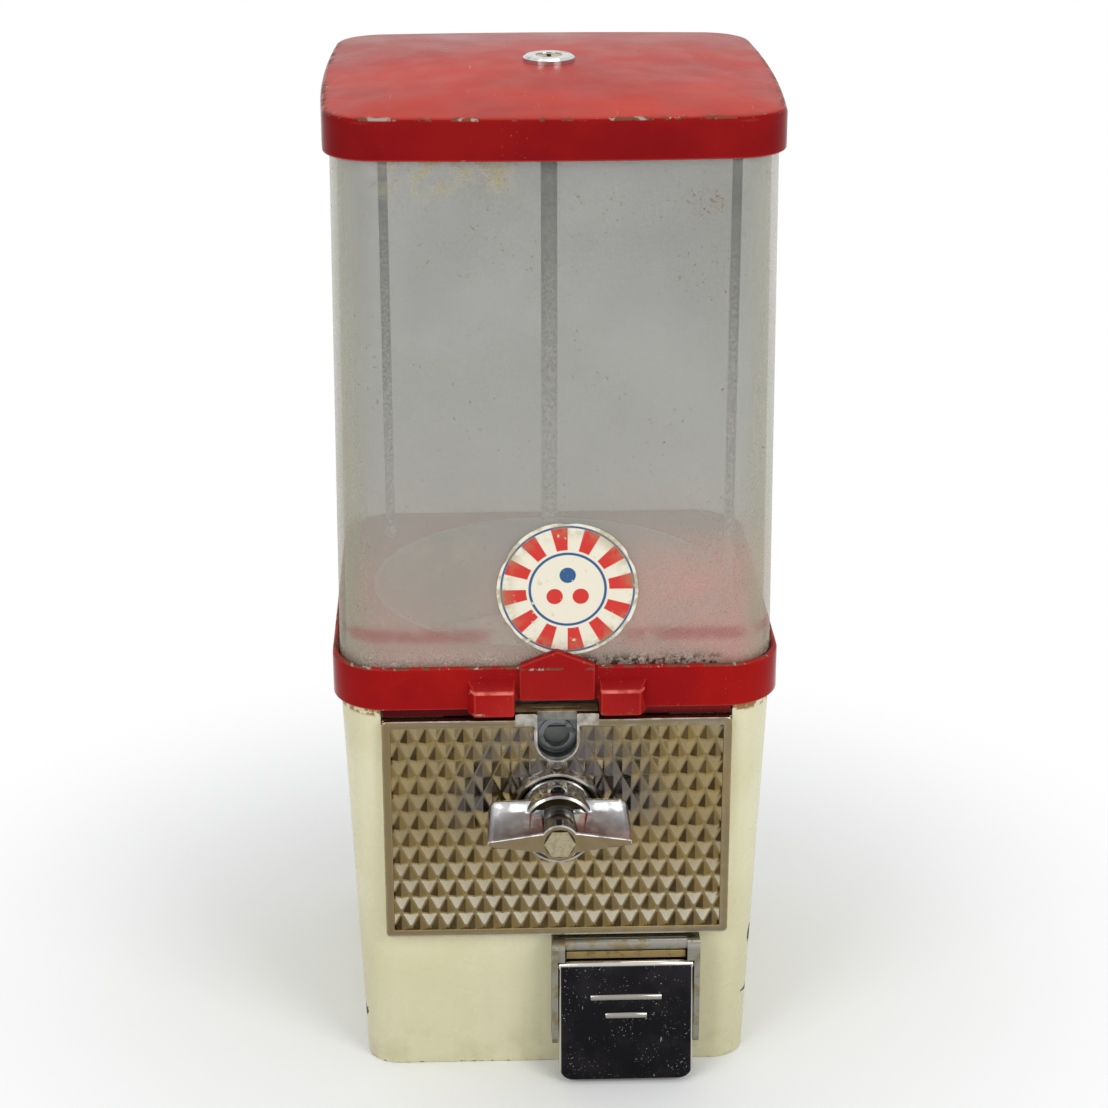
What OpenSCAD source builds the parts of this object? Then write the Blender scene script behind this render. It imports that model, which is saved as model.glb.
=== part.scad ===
// Gumball machine with a square plastic globe, a coin mechanism and a chute.
// Millimetres. The origin is the middle of the underside, +Z is up, and the front faces -Y.

/* [Body] */
// Half width of the cast body at its top rim
rim_half = 82.1; // [80:0.1:84]
// How far the body's foot is drawn in from its rim, on each side
body_taper = 6.8; // [4:0.1:9]
// Height of the body's top rim above the floor
body_top = 163; // [160:0.5:170]
// Thickness of the body's wall
body_wall = 2.5; // [1.6:0.1:3]
// Corner radius of the body at its foot
foot_corner = 13; // [10:0.5:18]
// Corner radius of the body at its top rim
rim_corner = 18; // [14:0.5:22]
// Thickness of the steel base plate
base_t = 2.4; // [1.5:0.1:4]
// Spacing of the four stand holes, along both sides
stand_pitch = 76.2; // [60:0.1:90]
// Radius of a stand hole
stand_hole_r = 3.3; // [2.5:0.1:4.5]

/* [Collar] */
// Thickness of the collar's outer wall
collar_wall = 2.3; // [1.6:0.1:3]
// How far the collar's skirt reaches down over the body
collar_skirt = 4; // [3:0.5:6]
// Height of the collar's outer wall above the body's rim
collar_rise = 13.3; // [10:0.1:16]
// Height of the collar's inner floor above the body's rim
floor_rise = 15.5; // [13:0.1:18]
// Thickness of the shelf that the globe stands on
shelf_t = 2; // [1.5:0.1:3]
// Gap between the globe's wall and the raised inner floor
lip_gap = 1.6; // [1:0.1:3]
// Width of the raised floor beside the round hopper opening, at its narrowest
floor_rim = 7; // [6:0.1:8]
// Half width of the notch and the gap between the two cast tabs
tab_gap_half = 15.8; // [14:0.1:18]
// Width of one cast tab
tab_w = 17.8; // [14:0.1:20]

/* [Globe and lid] */
// Height of the globe
globe_h = 206.7; // [180:0.1:230]
// How far the globe's top edge is drawn in from its bottom edge, on each side
globe_taper = 1.9; // [0.5:0.1:2.5]
// Thickness of the globe's wall
globe_wall = 2.6; // [1.5:0.1:3.5]
// Corner radius of the globe
globe_corner = 20; // [15:0.5:24]
// Height of the lid's straight skirt
skirt_h = 15; // [12:0.5:20]
// How far the skirt reaches below the globe's top edge
skirt_lap = 4; // [3:0.5:6]
// Thickness of the lid's wall
lid_wall = 2.2; // [1.5:0.1:3]
// Outward bow of the lid's sides at their middle
lid_bow = 2.2; // [0.5:0.1:3]
// Height of the crown above the skirt
crown_h = 4.3; // [3:0.1:8]
// Radius of the round label on the globe
label_r = 26.5; // [15:0.5:35]
// Offset of the label from the middle of the globe
label_x = 4; // [-20:0.5:20]
// Height of the label's middle above the globe's bottom edge
label_rise = 41; // [36:0.5:170]
// Thickness of the label
label_t = 0.3; // [0.1:0.05:0.3]

/* [Lock and rods] */
// Radius of the lock's bezel
bezel_r = 9.75; // [9:0.05:12]
// Radius of the lock's barrel
barrel_r = 8; // [6.5:0.1:8.5]
// Radius of the key plug
plug_r = 5; // [4.3:0.1:5.6]
// Radius of the centre rod
rod_r = 3.175; // [2.5:0.005:3.5]
// Radius of a side rod
side_rod_r = 1.9; // [1.5:0.1:2.2]

/* [Hopper and wheel] */
// How far the product wheel's edge lies inside the hopper opening
wheel_inset = 6.7; // [6:0.1:8]
// Thickness of the product wheel
wheel_t = 10; // [9:0.5:12]
// Number of pockets in the product wheel
pockets = 6; // [5:1:6]
// Radius of a pocket
pocket_r = 12; // [9:0.5:12]
// Distance of the pockets from the wheel's axis
pocket_ring = 34; // [33:0.5:34.5]
// Direction of the exit hole, in degrees
exit_angle = -37.3; // [-45:0.1:-35]
// Thickness of the hopper's wall
bowl_wall = 2; // [1.5:0.1:2.4]
// Number of teeth on the crown gear
crown_teeth = 48; // [48:8:48]
// Number of teeth on the drive pinion
pinion_teeth = 8; // [8:1:8]
// Distance of the crown gear's pitch circle from the wheel's edge
crown_edge = 6.3; // [6:0.1:6.6]
// Length of the gear teeth along their face
gear_face = 5; // [4:0.1:6]

/* [Coin mechanism] */
// Height of the handle's axis above the floor
axis_z = 116.1; // [115:0.1:118]
// Half width of the coin plate
plate_half = 66.4; // [62:0.1:67]
// Height of the coin plate's lower edge
plate_low = 62; // [61.5:0.1:66]
// Height of the coin plate's upper edge
plate_high = 154.3; // [153:0.1:156]
// Depth of the coin plate from its front rim to its back
plate_t = 2.6; // [2.2:0.1:3.4]
// Width of the plate's plain border
border_w = 3.3; // [2:0.1:5]
// Width of one diamond in the pattern
diamond = 7.1; // [6:0.1:10]
// Height of the diamonds above the field
diamond_h = 1.4; // [0.6:0.1:1.6]
// Width of the coin slot
coin_w = 19; // [18:0.5:21]
// Half width of the coin window
window_half = 7.5; // [6:0.1:8]
// Radius of the coin wheel
coin_wheel_r = 36.5; // [34:0.1:37]
// Radius of the spindle
spindle_r = 4; // [3.5:0.1:4.5]
// Radius of the ratchet wheel at its tooth tips
ratchet_r = 17; // [15:0.1:17.5]
// Number of ratchet teeth
ratchet_teeth = 12; // [9:3:15]

/* [Handle] */
// Radius of the handle's hub
hub_r = 13.6; // [12:0.1:14]
// Half length of the handle's wings
wing_half = 27; // [22:0.5:32]
// How far the handle's front face stands out from the plate
handle_reach = 27.5; // [24:0.5:32]
// Size of the hex bolt head across its flats
hex_af = 10.2; // [9:0.1:10.6]

/* [Chute] */
// Place of the chute's middle, to the right of the body's middle
chute_x = 26.8; // [26.5:0.1:28]
// Half width of the flap
flap_half = 26.3; // [25.5:0.1:28]
// Height of the flap's hinge pin above the floor
pin_z = 49.6; // [48.5:0.1:50.5]
// Radius of the flap's hinge pin
flap_pin_r = 1.1; // [0.8:0.05:1.3]
// Thickness of the flap's sheet
flap_t = 1.6; // [1:0.1:2.2]
// Thickness of the hood's side walls
hood_wall = 2.3; // [1.6:0.1:3]

/* [Fits] */
// Gap between a turning shaft and its bore, on the radius
run_fit = 0.06; // [0.03:0.01:0.09]
// Gap between a shaft and what is fixed on it, on the radius
seat_fit = 0.02; // [0.01:0.01:0.04]
// Gap between pieces that move past each other
clear = 0.3; // [0.25:0.05:0.4]

/* [Hidden] */
$fn = 48;
corner_steps = 8;
side_steps = 4;
cut = 1;              // how far a cutting shape runs past the face it cuts

// Heights that stack up from the body's rim.
shelf_z = body_top + shelf_t;
skirt_low = body_top - collar_skirt;
collar_top = body_top + collar_rise;
floor_top = body_top + floor_rise;
floor_t = 2.3;
floor_under = floor_top - floor_t;
globe_z = shelf_z + clear;
globe_top = globe_z + globe_h;
label_z = globe_z + label_rise;
skirt_z = globe_top - skirt_lap;
skirt_top = skirt_z + skirt_h;
ledge_z = globe_top + clear;
crown_z = skirt_top + crown_h;
roof_t = 2.4;
bezel_t = 2.3;
rod_top = crown_z - 9.4;
rod_foot = 0.6;

// Half widths and radii that follow from the body's rim, from the outside in.
foot_half = rim_half - body_taper;
groove_half = rim_half + 0.4;
collar_half = groove_half + collar_wall;
collar_corner = 21.4;
globe_half_low = groove_half - clear;
globe_half_high = globe_half_low - globe_taper;
lid_half = globe_half_high + 0.25 + lid_wall;
lid_corner = 20;
lip_half = globe_half_low - globe_wall - lip_gap;
lip_corner = 17;
opening_r = lip_half - floor_rim;
wheel_r = opening_r - wheel_inset;
crown_pitch_r = wheel_r - crown_edge;
badge_half = 14.2;
badge_rise = 5.7;          // height of the badge's point above its shoulders
side_rod_xy = [[opening_r - 1.4, -24], [6 - opening_r, 50]];

// Depths behind the front, all measured from the machine's middle plane.
pad_d = rim_half - 0.2;
plate_d = pad_d + plate_t;
field_d = plate_d - diamond_h;
pad_t = 3.5;
pad_back = pad_d - pad_t;
recess_d = pad_back + 0.3;
cup_back = pad_d - 10.4;
cup_front = pad_d - 0.05;
coin_slot_d = [pad_d - 3.9, pad_d - 1.6];

// The coin plate and the mechanism behind it.
cup_r = coin_wheel_r + 0.5;
cup_wall = 3;
recess_z = plate_high - 2.5;
block_z = plate_high + 2.5;
mech_half = cup_r + cup_wall + 3;
flange_half = mech_half + 9;
mech_low = axis_z - cup_r - cup_wall - 2;
mech_screw_x = [-mech_half - 5, mech_half + 5];
mech_screw_z = [axis_z - cup_r + 5, axis_z + cup_r - 9];
mech_screw_r = 1.5;
coin_z = axis_z + 29;
coin_r = coin_w / 2 - 0.2;
window_z = coin_z - 0.2;
window_rim = 0.85;
strip_half = 15.9;
boss_r = 17;
boss_foot_r = 20.3;
boss_d = plate_d + 1.6;
bush_r = spindle_r + 2;
diamond_rows = 12;
edge_lap = 0.4;            // how far the pattern runs under the plate's border
pawl_xz = [-27, axis_z + 11.9];
pawl_pin_r = 2;
nose_xz = [0, axis_z] + (ratchet_r + clear) * [cos(120), sin(120)];

// The wheel and its gears. Teeth are measured in the gears' module.
gear_module = 2 * crown_pitch_r / crown_teeth;
addendum = 0.84 * gear_module;
half_tooth = 0.6 * gear_module;
pressure = 20;             // pressure angle
pinion_pitch_r = gear_module * pinion_teeth / 2;
pitch_z = axis_z + pinion_pitch_r;
tooth_tip_z = pitch_z - addendum - 0.14;
wheel_z = pitch_z + addendum + 0.5;
wheel_top = wheel_z + wheel_t;
crown_inset = 2.8;
crown_ring_r = crown_pitch_r + gear_face / 2 + 1.5;
crown_ring_w = gear_face + 3;
crown_len = gear_face + 1;
bowl_r = wheel_r + clear;
trough_z = tooth_tip_z - 4;
platform_z = wheel_z - clear;
platform_r = crown_pitch_r - gear_face / 2 - 4.5;
platform_t = 2.5;
flange_t = 2.3;
exit_r = pocket_r + 0.2;
exit_xy = [pocket_ring * cos(exit_angle), pocket_ring * sin(exit_angle)];
flange_r = opening_r + 4;
neck_r = opening_r - 0.2;
lug_ring = flange_r + 3;
lug_screw_r = 1.6;
holder_z = wheel_top + 3.7;
holder_half = 16;
tufts = 10;
tuft_in = pocket_ring - pocket_r + 2;
tuft_pitch = (wheel_r - 6.1 - tuft_in) / (tufts - 1);
tuft_r = 0.9;

// Depths of the pieces along the spindle, from the back.
gear_d = crown_pitch_r - gear_face / 2;
spindle_back = gear_d - 2.2;
ratchet_t = 2.5;
ratchet_d = cup_back - 1.5 - clear - ratchet_t;
hub_back = plate_d - 0.6 + clear;
hub_front = hub_back + 16.3;
handle_front = plate_d + handle_reach;
bolt_r = 2.5;
bolt_sunk = 6.8;           // depth of the bolt's head in the handle

// The chute, its hood and its flap.
hood_half = flap_half + clear + hood_wall;
hood_top = plate_low - 1.4;
hood_low = 15;
hood_screw_x = [chute_x - hood_half + 1.9, chute_x + hood_half - 1.9];
hood_screw_z = hood_top - 2.6;
hood_screw_r = 1.25;
pin_d = pad_d + 4.5;
barrel_flap_r = flap_pin_r + 1;
flap_low = 2;
flap_low_d = pad_d + 12.1;
channel_half = flap_half - 1.9;
channel_wall = 1.5;
channel_top = trough_z - bowl_wall - 3.5;
mouth_z = [5, 55];         // heights of the mouth in the body
cheek_w = 5;
bar_r = 2.6;
bar_z = hood_top - 0.3 - bar_r;
inner_bar = hood_half - cheek_w + 0.5;

// Half width and corner radius of the tapered body at height z.
function body_half(z) = foot_half + (rim_half - foot_half) * z / body_top;
function body_corner(z) = foot_corner + (rim_corner - foot_corner) * z / body_top;

// Closed outline of a square with half width h, corner radius r and sides bowed outwards by b.
function rounded(h, r, b = 0) = [
    for (q = [0 : 3]) let (s = h - r, quarter = 90) each [
        for (i = [0 : corner_steps]) let (a = quarter * i / corner_steps)
            turn([s + r * cos(a), s + r * sin(a)], quarter * q),
        if (b > 0) for (k = [1 : side_steps - 1]) let (x = s * (1 - 2 * k / side_steps))
            turn([x, h + b * (1 - pow(x / s, 2))], quarter * q)
    ]];
function turn(p, a) = [p[0] * cos(a) - p[1] * sin(a), p[0] * sin(a) + p[1] * cos(a)];

// Solid through a stack of rounded squares, each given as [z, half width, corner radius, bow].
module loft(stack) {
    rings = [for (s = stack) rounded(s[1], s[2], s[3] == undef ? 0 : s[3])];
    n = len(rings[0]);
    last = len(stack) - 1;
    points = [for (k = [0 : last]) for (p = rings[k]) [p[0], p[1], stack[k][0]]];
    sides = [for (k = [0 : last - 1]) for (i = [0 : n - 1]) let (j = (i + 1) % n)
        each [[k * n + i, (k + 1) * n + i, k * n + j],
              [k * n + j, (k + 1) * n + i, (k + 1) * n + j]]];
    polyhedron(points, concat(sides, [[for (i = [0 : n - 1]) i],
                                      [for (i = [n - 1 : -1 : 0]) last * n + i]]));
}

// Children drawn in the X-Z plane, with depth measured towards the front.
module facing() { rotate([90, 0, 0]) children(); }
// Outline drawn in depth and height, extruded along X from x0 to x1.
module across(x0, x1) { translate([x0, 0, 0]) rotate([90, 0, 90]) linear_extrude(x1 - x0) children(); }
module box(x0, x1, y0, y1, z0, z1) { translate([x0, y0, z0]) cube([x1 - x0, y1 - y0, z1 - z0]); }
module disc(r, low, high) { translate([0, 0, low]) cylinder(r = r, h = high - low); }
// Square outline with round corners, built from true circles.
module card(x0, x1, y0, y1, r) {
    translate([x0 + r, y0]) square([x1 - x0 - 2 * r, y1 - y0]);
    translate([x0, y0 + r]) square([x1 - x0, y1 - y0 - 2 * r]);
    for (x = [x0 + r, x1 - r], y = [y0 + r, y1 - r]) translate([x, y]) circle(r);
}

// Cast body: a tapered square shell with a flat pad for the coin plate, a window for the
// mechanism, a mouth for the chute, and a ledge inside that sits on the base plate.
module base_shell() color("#dedcc0") difference() {
    union() {
        difference() {
            loft([[0, foot_half, foot_corner], [body_top, rim_half, rim_corner]]);
            shell_bore(-cut, base_t, body_wall);
            shell_bore(base_t - cut, base_t + 3.5, body_wall + 5);
            shell_bore(base_t + 2.5, body_top + cut, body_wall);
        }
        box(-plate_half, plate_half, -pad_d, -pad_back, plate_low, recess_z);
        box(-plate_half, plate_half, -recess_d, -recess_d + body_wall, recess_z - cut, body_top);
    }
    box(-plate_half - 0.2, plate_half + 0.2, -pad_d - 5, -recess_d, recess_z - 0.1, body_top + cut);
    box(-mech_half, mech_half, -pad_d - 5, -pad_back + 8, mech_low, body_top + cut);
    box(-flange_half - 1, flange_half + 1, -pad_back, -pad_back + 6, mech_low, recess_z);
    box(chute_x - channel_half - 0.5, chute_x + channel_half + 0.5, -pad_d, -foot_half + 8, mouth_z[0], mouth_z[1]);
    for (x = hood_screw_x) translate([x, 0, hood_screw_z]) facing() disc(hood_screw_r + 0.25, foot_half - 8, pad_d);
    for (x = mech_screw_x, z = mech_screw_z) translate([x, 0, z]) facing()
        disc(mech_screw_r + seat_fit, pad_back - cut, pad_d - 1);
}
module shell_bore(low, high, inset) loft([for (z = [low, high])
    [z, body_half(z) - inset, max(2, body_corner(z) - inset)]]);

// Steel plate with a raised boss for the rod and four holes for a stand.
module base_plate() color("#8c8f92") difference() {
    union() {
        linear_extrude(base_t) {
            plate_in = foot_half - body_wall - 0.3;
            card(-plate_in, plate_in, -plate_in, plate_in, foot_corner - body_wall);
        }
        disc(9, 0, 8);
    }
    disc(rod_r + seat_fit, rod_foot, 9);
    for (x = [-1, 1], y = [-1, 1]) translate([x, y, 0] * stand_pitch / 2)
        disc(stand_hole_r, -cut, base_t + cut);
}

module centre_rod() color("#77726a") disc(rod_r, rod_foot, rod_top);

module rod_nut() color("#9a9a96") difference() {
    translate([0, 0, 8]) cylinder(r = 6.4, h = 5, $fn = 6);
    disc(rod_r + seat_fit, 7, 14);
}

// Collar: an outer wall round the body's rim, a groove that the globe stands in, a raised floor
// with the round hopper opening, two cast tabs and a pointed badge over the coin plate.
module collar() color("#b5141a") difference() {
    union() {
        loft([[skirt_low, collar_half - 0.4, collar_corner - 0.4], [skirt_low + 0.8, collar_half, collar_corner],
              [collar_top - 0.8, collar_half, collar_corner], [collar_top, collar_half - 0.6, collar_corner - 0.6]]);
        loft([[shelf_z, lip_half, lip_corner], [floor_top - 1, lip_half, lip_corner],
              [floor_top, lip_half - 1, lip_corner - 1]]);
        for (side = [-1, 1]) scale_x(side) tab();
        badge();
    }
    groove_corner = collar_corner - collar_wall - 0.1;
    loft([for (z = [skirt_low - cut, body_top]) [z, groove_half, groove_corner]]);
    loft([for (z = [body_top - cut, floor_under]) [z, lip_half - floor_t, lip_corner - 2]]);
    difference() {
        loft([for (z = [shelf_z, collar_top + cut]) [z, groove_half, groove_corner]]);
        loft([[shelf_z - cut, lip_half, lip_corner], [floor_top - 1, lip_half, lip_corner],
              [floor_top, lip_half - 1, lip_corner - 1], [floor_top + 2, lip_half - 1, lip_corner - 1]]);
    }
    disc(opening_r, floor_under - cut, floor_top + cut);
    box(-tab_gap_half, tab_gap_half, -collar_half - cut, -groove_half + cut, skirt_low - cut, body_top);
    lugs() disc(lug_screw_r + seat_fit, floor_under - cut, floor_top - 0.6);
}
module scale_x(side) mirror([side < 0 ? 1 : 0, 0, 0]) children();
// Cast tab with a chamfered face, top and outer side.
module tab() hull() {
    box(tab_gap_half, tab_gap_half + tab_w, -collar_half, -collar_half + 1, skirt_low - 1.2, body_top + 8);
    box(tab_gap_half + 0.6, tab_gap_half + tab_w - 2.5, -collar_half - 5.2, -collar_half,
        skirt_low - 1, body_top + 5);
}
module badge() facing() translate([0, 0, groove_half]) linear_extrude(collar_wall + 1.7)
    polygon([[-badge_half, body_top], [badge_half, body_top], [badge_half, collar_top + 1],
             [0, collar_top + 1 + badge_rise], [-badge_half, collar_top + 1]]);
module lugs() for (a = [45 : 90 : 315]) rotate(a) translate([lug_ring, 0, 0]) children();

// Two rods that stand on the collar's floor and reach up under the lid.
module side_rods() color("#3a3733") for (p = side_rod_xy) translate(p) {
    disc(side_rod_r, floor_top, ledge_z + 5);
    disc(side_rod_r + 0.7, floor_top, floor_top + 2);
}

// Hopper: one revolved wall with a flange under the collar's floor, a trough for the crown gear
// and a raised platform that the wheel turns just above.
module hopper_bowl() color("#8d8f90") difference() {
    union() {
        rotate_extrude() polygon([
            [rod_r + 0.4, platform_z - platform_t], [platform_r - bowl_wall, platform_z - platform_t],
            [platform_r - bowl_wall, trough_z - bowl_wall], [bowl_r + bowl_wall, trough_z - bowl_wall],
            [bowl_r + bowl_wall, wheel_top + 2], [neck_r - 0.2, floor_under - flange_t],
            [flange_r, floor_under - flange_t], [flange_r, floor_under], [neck_r, floor_under],
            [neck_r, floor_top - 0.3], [neck_r - bowl_wall, floor_top - 0.3],
            [neck_r - bowl_wall, floor_under - 2], [bowl_r, wheel_top + 2],
            [bowl_r, trough_z], [platform_r, trough_z], [platform_r, platform_z], [rod_r + 0.4, platform_z]]);
        lugs() disc(6, floor_under - flange_t, floor_under);
    }
    lugs() disc(lug_screw_r + seat_fit, floor_under - flange_t - cut, floor_under + cut);
    translate(exit_xy) disc(exit_r, platform_z - platform_t - cut, platform_z + cut);
    box(-14, 14, -bowl_r - bowl_wall - 3, -platform_r + bowl_wall + 1, trough_z - bowl_wall - cut,
        pitch_z + addendum + 1.5);
}

// Screws that hold the hopper's lugs to the collar.
module bowl_screws() color("#a9aaab") lugs() {
    disc(lug_screw_r, floor_under - flange_t, floor_top - 0.8);
    disc(3, floor_under - flange_t - 2, floor_under - flange_t);
}

// Bracket over the exit hole that keeps the gumballs above from falling through.
module brush_holder() color("#a3a5a6") intersection() {
    rotate(exit_angle) union() {
        box(pocket_ring - pocket_r - 0.5, bowl_r, -holder_half, holder_half, holder_z, holder_z + 1.8);
        difference() {
            box(bowl_r - 8, bowl_r + 2, -holder_half, holder_half, holder_z, holder_z + 14);
            disc(bowl_r - 2.2, holder_z - cut, holder_z + 20);
        }
    }
    disc(bowl_r - 0.1, wheel_top, holder_z + 20);
}
// Two rows of bristle tufts under the bracket.
module brush() color("#4c4438") rotate(exit_angle)
    for (row = [-6, 6], k = [0 : tufts - 1]) translate([tuft_in + tuft_pitch * k, row, 0])
        disc(tuft_r, wheel_top + clear, holder_z);

// Wheel with pockets that carries the gumballs round to the exit hole.
module product_wheel() color("#d8d3c2") difference() {
    union() {
        disc(wheel_r, wheel_z, wheel_top - 1.5);
        translate([0, 0, wheel_top - 1.5]) cylinder(r1 = wheel_r, r2 = wheel_r - 1.5, h = 1.5);
    }
    for (k = [0 : pockets - 1]) rotate(exit_angle + 360 * k / pockets)
        translate([pocket_ring, 0, 0]) {
            disc(pocket_r, wheel_z - cut, wheel_top + cut);
            translate([0, 0, wheel_top - 2]) cylinder(r1 = pocket_r, r2 = pocket_r + 2.1, h = 2.1);
        }
    disc(rod_r + run_fit, wheel_z - cut, wheel_top + cut);
    difference() {
        disc(crown_ring_r + seat_fit, wheel_z - cut, wheel_z + crown_inset);
        disc(crown_ring_r - crown_ring_w - seat_fit, wheel_z - 2 * cut, wheel_z + crown_inset + cut);
    }
}

// Crown gear: a ring let into the wheel, with straight radial teeth pointing down.
module crown_gear() color("#b9a06a") {
    difference() {
        disc(crown_ring_r, wheel_z, wheel_z + crown_inset);
        disc(crown_ring_r - crown_ring_w, wheel_z - cut, wheel_z + crown_inset + cut);
    }
    pitch = 2 * 180 / crown_teeth;
    for (k = [0 : crown_teeth - 1]) rotate(pitch * (k + 0.5) - 90)
        translate([crown_pitch_r - crown_len / 2, 0, 0]) rotate([90, 0, 90]) linear_extrude(crown_len)
            polygon([[-rack_half(wheel_z), wheel_z + 0.5], [-rack_half(wheel_z), wheel_z],
                     [-rack_half(tooth_tip_z), tooth_tip_z], [rack_half(tooth_tip_z), tooth_tip_z],
                     [rack_half(wheel_z), wheel_z], [rack_half(wheel_z), wheel_z + 0.5]]);
}
// Half thickness of a crown tooth at height z.
function rack_half(z) = half_tooth + (z - pitch_z) * tan(pressure);

// Cap with three rods that stirs the gumballs above the wheel.
module agitator() color("#a7a9ab") difference() {
    union() {
        rotate_extrude() polygon([[0, wheel_top], [18, wheel_top], [18, wheel_top + 2],
                                  [9, wheel_top + 7], [5.5, wheel_top + 8.5], [0, wheel_top + 8.5]]);
        for (a = [30 : 120 : 270]) rotate(a) translate([12, 0, wheel_top + 2]) rotate([0, 14, 0]) {
            cylinder(r = 1.6, h = 15);
            translate([0, 0, 15]) sphere(1.6);
        }
    }
    disc(rod_r + run_fit, wheel_top - cut, wheel_top + 10);
}

// Clear plastic globe: four flat walls, open at both ends.
module globe() color("#aaaaa2", 0.5) difference() {
    loft([[globe_z, globe_half_low, globe_corner], [globe_top, globe_half_high, globe_corner]]);
    loft([[globe_z - cut, globe_half_low - globe_wall, globe_corner - globe_wall],
          [globe_top + cut, globe_half_high - globe_wall, globe_corner - globe_wall]]);
}
module label() color("#e8e2d0") {
    lean = atan((globe_half_low - globe_half_high) / globe_h);
    front = globe_half_low - (globe_half_low - globe_half_high) * (label_z - globe_z) / globe_h;
    translate([label_x, -front - 0.03, label_z]) rotate([90 - lean, 0, 0])
        cylinder(r = label_r, h = label_t);
}

// Lid: a straight skirt round the globe's top, a ledge that sits on it and a low crown.
function crown_at(h) = crown_z - crown_h * pow(h / lid_half, 2);
module lid() color("#b5141a") difference() {
    loft(concat(
        [[skirt_z, lid_half - 0.9, lid_corner - 1, lid_bow], [skirt_z + 1, lid_half, lid_corner, lid_bow],
         [skirt_top - 1.6, lid_half, lid_corner, lid_bow],
         [skirt_top - 0.5, lid_half - 0.6, lid_corner - 0.6, lid_bow]],
        [for (s = [0.96, 0.86, 0.72, 0.55, 0.38, 0.22])
            [crown_at(lid_half * s), lid_half * s, lid_corner * s, lid_bow * s]],
        [[crown_z, bezel_r + 1, bezel_r * 0.9, 0.01]]));
    loft([for (z = [skirt_z - cut, ledge_z]) [z, lid_half - lid_wall, lid_corner]]);
    loft([[ledge_z - cut, lid_half - 6, lid_corner - 3], [skirt_top - roof_t, lid_half - 6, lid_corner - 3],
          [crown_at(lid_half * 0.5) - roof_t, lid_half * 0.5, lid_corner - 5],
          [crown_z - roof_t, bezel_r + 8, bezel_r]]);
    disc(barrel_r + seat_fit, ledge_z, crown_z + cut);
}

// Lock: a bezel on the crown and a barrel that the centre rod reaches into.
module lock_body() color("#b9bab8") difference() {
    rotate_extrude() polygon([
        [0, rod_top - 6], [barrel_r, rod_top - 6], [barrel_r, crown_z], [bezel_r, crown_z],
        [bezel_r, crown_z + bezel_t - 0.8], [bezel_r - 1, crown_z + bezel_t], [0, crown_z + bezel_t]]);
    disc(plug_r + run_fit, rod_top + 2, crown_z + bezel_t + cut);
    disc(rod_r + 0.4, rod_top - 7, rod_top + 1);
}
module lock_nut() color("#9a9a96") difference() {
    translate([0, 0, crown_z - roof_t - 4.6]) cylinder(r = 12, h = 4.5, $fn = 6);
    disc(barrel_r + seat_fit, rod_top - 6, crown_z);
}
// Key plug with a straight key way.
module lock_plug() color("#8f8a7c") difference() {
    disc(plug_r, rod_top + 2 + clear, crown_z + bezel_t - 0.2);
    box(-0.8, 0.8, -3, 3, crown_z + bezel_t - 3, crown_z + bezel_t + cut);
}

// Field of diamonds: low pyramids in staggered rows, each meeting its neighbours in valleys.
module diamond_field(half, low, high) {
    start = low - edge_lap;
    row_h = (high + edge_lap - start) / diamond_rows;
    cols = floor(half / diamond);
    sunk = 0.2;
    peak = diamond_h - 0.15 + sunk;
    for (m = [0 : diamond_rows], k = [-cols - 1 : cols]) {
        x = (k + (m % 2) / 2) * diamond;
        if (abs(x) < half) intersection() {
            translate([x, start + m * row_h, field_d - sunk]) hull() {
                linear_extrude(0.01) polygon([for (p = [[-diamond / 2, 0], [0, -row_h], [diamond / 2, 0],
                    [0, row_h]]) p * (m % 2 == 0 ? 0.96 : 0.93) * peak / (peak - sunk)]);
                cylinder(r1 = 0.1, r2 = 0, h = peak, $fn = 4);
            }
            box(-half - cut, half + cut, low - 1.5, high + 1.5, 0, plate_d + cut);
        }
    }
}

// U shape: a half disc of radius r at the coin's lower side with straight sides up to high.
module u_shape(r, high) {
    translate([0, window_z]) circle(r);
    translate([-r, window_z]) square([2 * r, high - window_z]);
}

// Coin plate: a plain border round a field of raised diamonds, a U-shaped coin window that is open
// at the top, a raised middle strip with a top flange, and a round boss behind the handle.
module coin_plate() color("#8f8a78") facing() difference() {
    union() {
        difference() {
            translate([0, 0, pad_d]) linear_extrude(plate_t)
                card(-plate_half, plate_half, plate_low, plate_high, 2);
            box(-plate_half + border_w, plate_half - border_w, plate_low + border_w,
                plate_high - border_w, field_d, plate_d + cut);
        }
        diamond_field(plate_half - border_w, plate_low + border_w, plate_high - border_w);
        box(-plate_half + 0.2, plate_half - 0.2, recess_z, plate_high - 0.1, recess_d, pad_d + 1);
        box(-strip_half, strip_half, plate_high - 1.3, block_z, pad_d + 0.02, plate_d + 0.05);
        translate([0, axis_z, field_d]) cylinder(r1 = boss_foot_r, r2 = boss_r, h = boss_d - field_d);
        translate([0, 0, pad_d + 1]) linear_extrude(plate_t - 0.6)
            u_shape(window_half + window_rim, block_z - 0.1);
    }
    translate([0, 0, pad_d - cut]) linear_extrude(plate_t + 3 * cut) u_shape(window_half, block_z + cut);
    translate([0, axis_z, 0]) {
        disc(hub_r + 0.5, plate_d - 0.6, boss_d + cut);
        disc(bush_r + 0.1, pad_d - cut, plate_d);
    }
    box(-strip_half - 2.6, strip_half + 2.6, recess_z - cut, block_z + cut, 0, pad_d);
}
// Brass bush in the coin plate that the spindle turns in.
module spindle_bush() color("#b08d4a") facing() translate([0, axis_z]) difference() {
    disc(bush_r, pad_d, plate_d - 0.6);
    disc(spindle_r + run_fit, pad_d - cut, plate_d);
}

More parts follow.
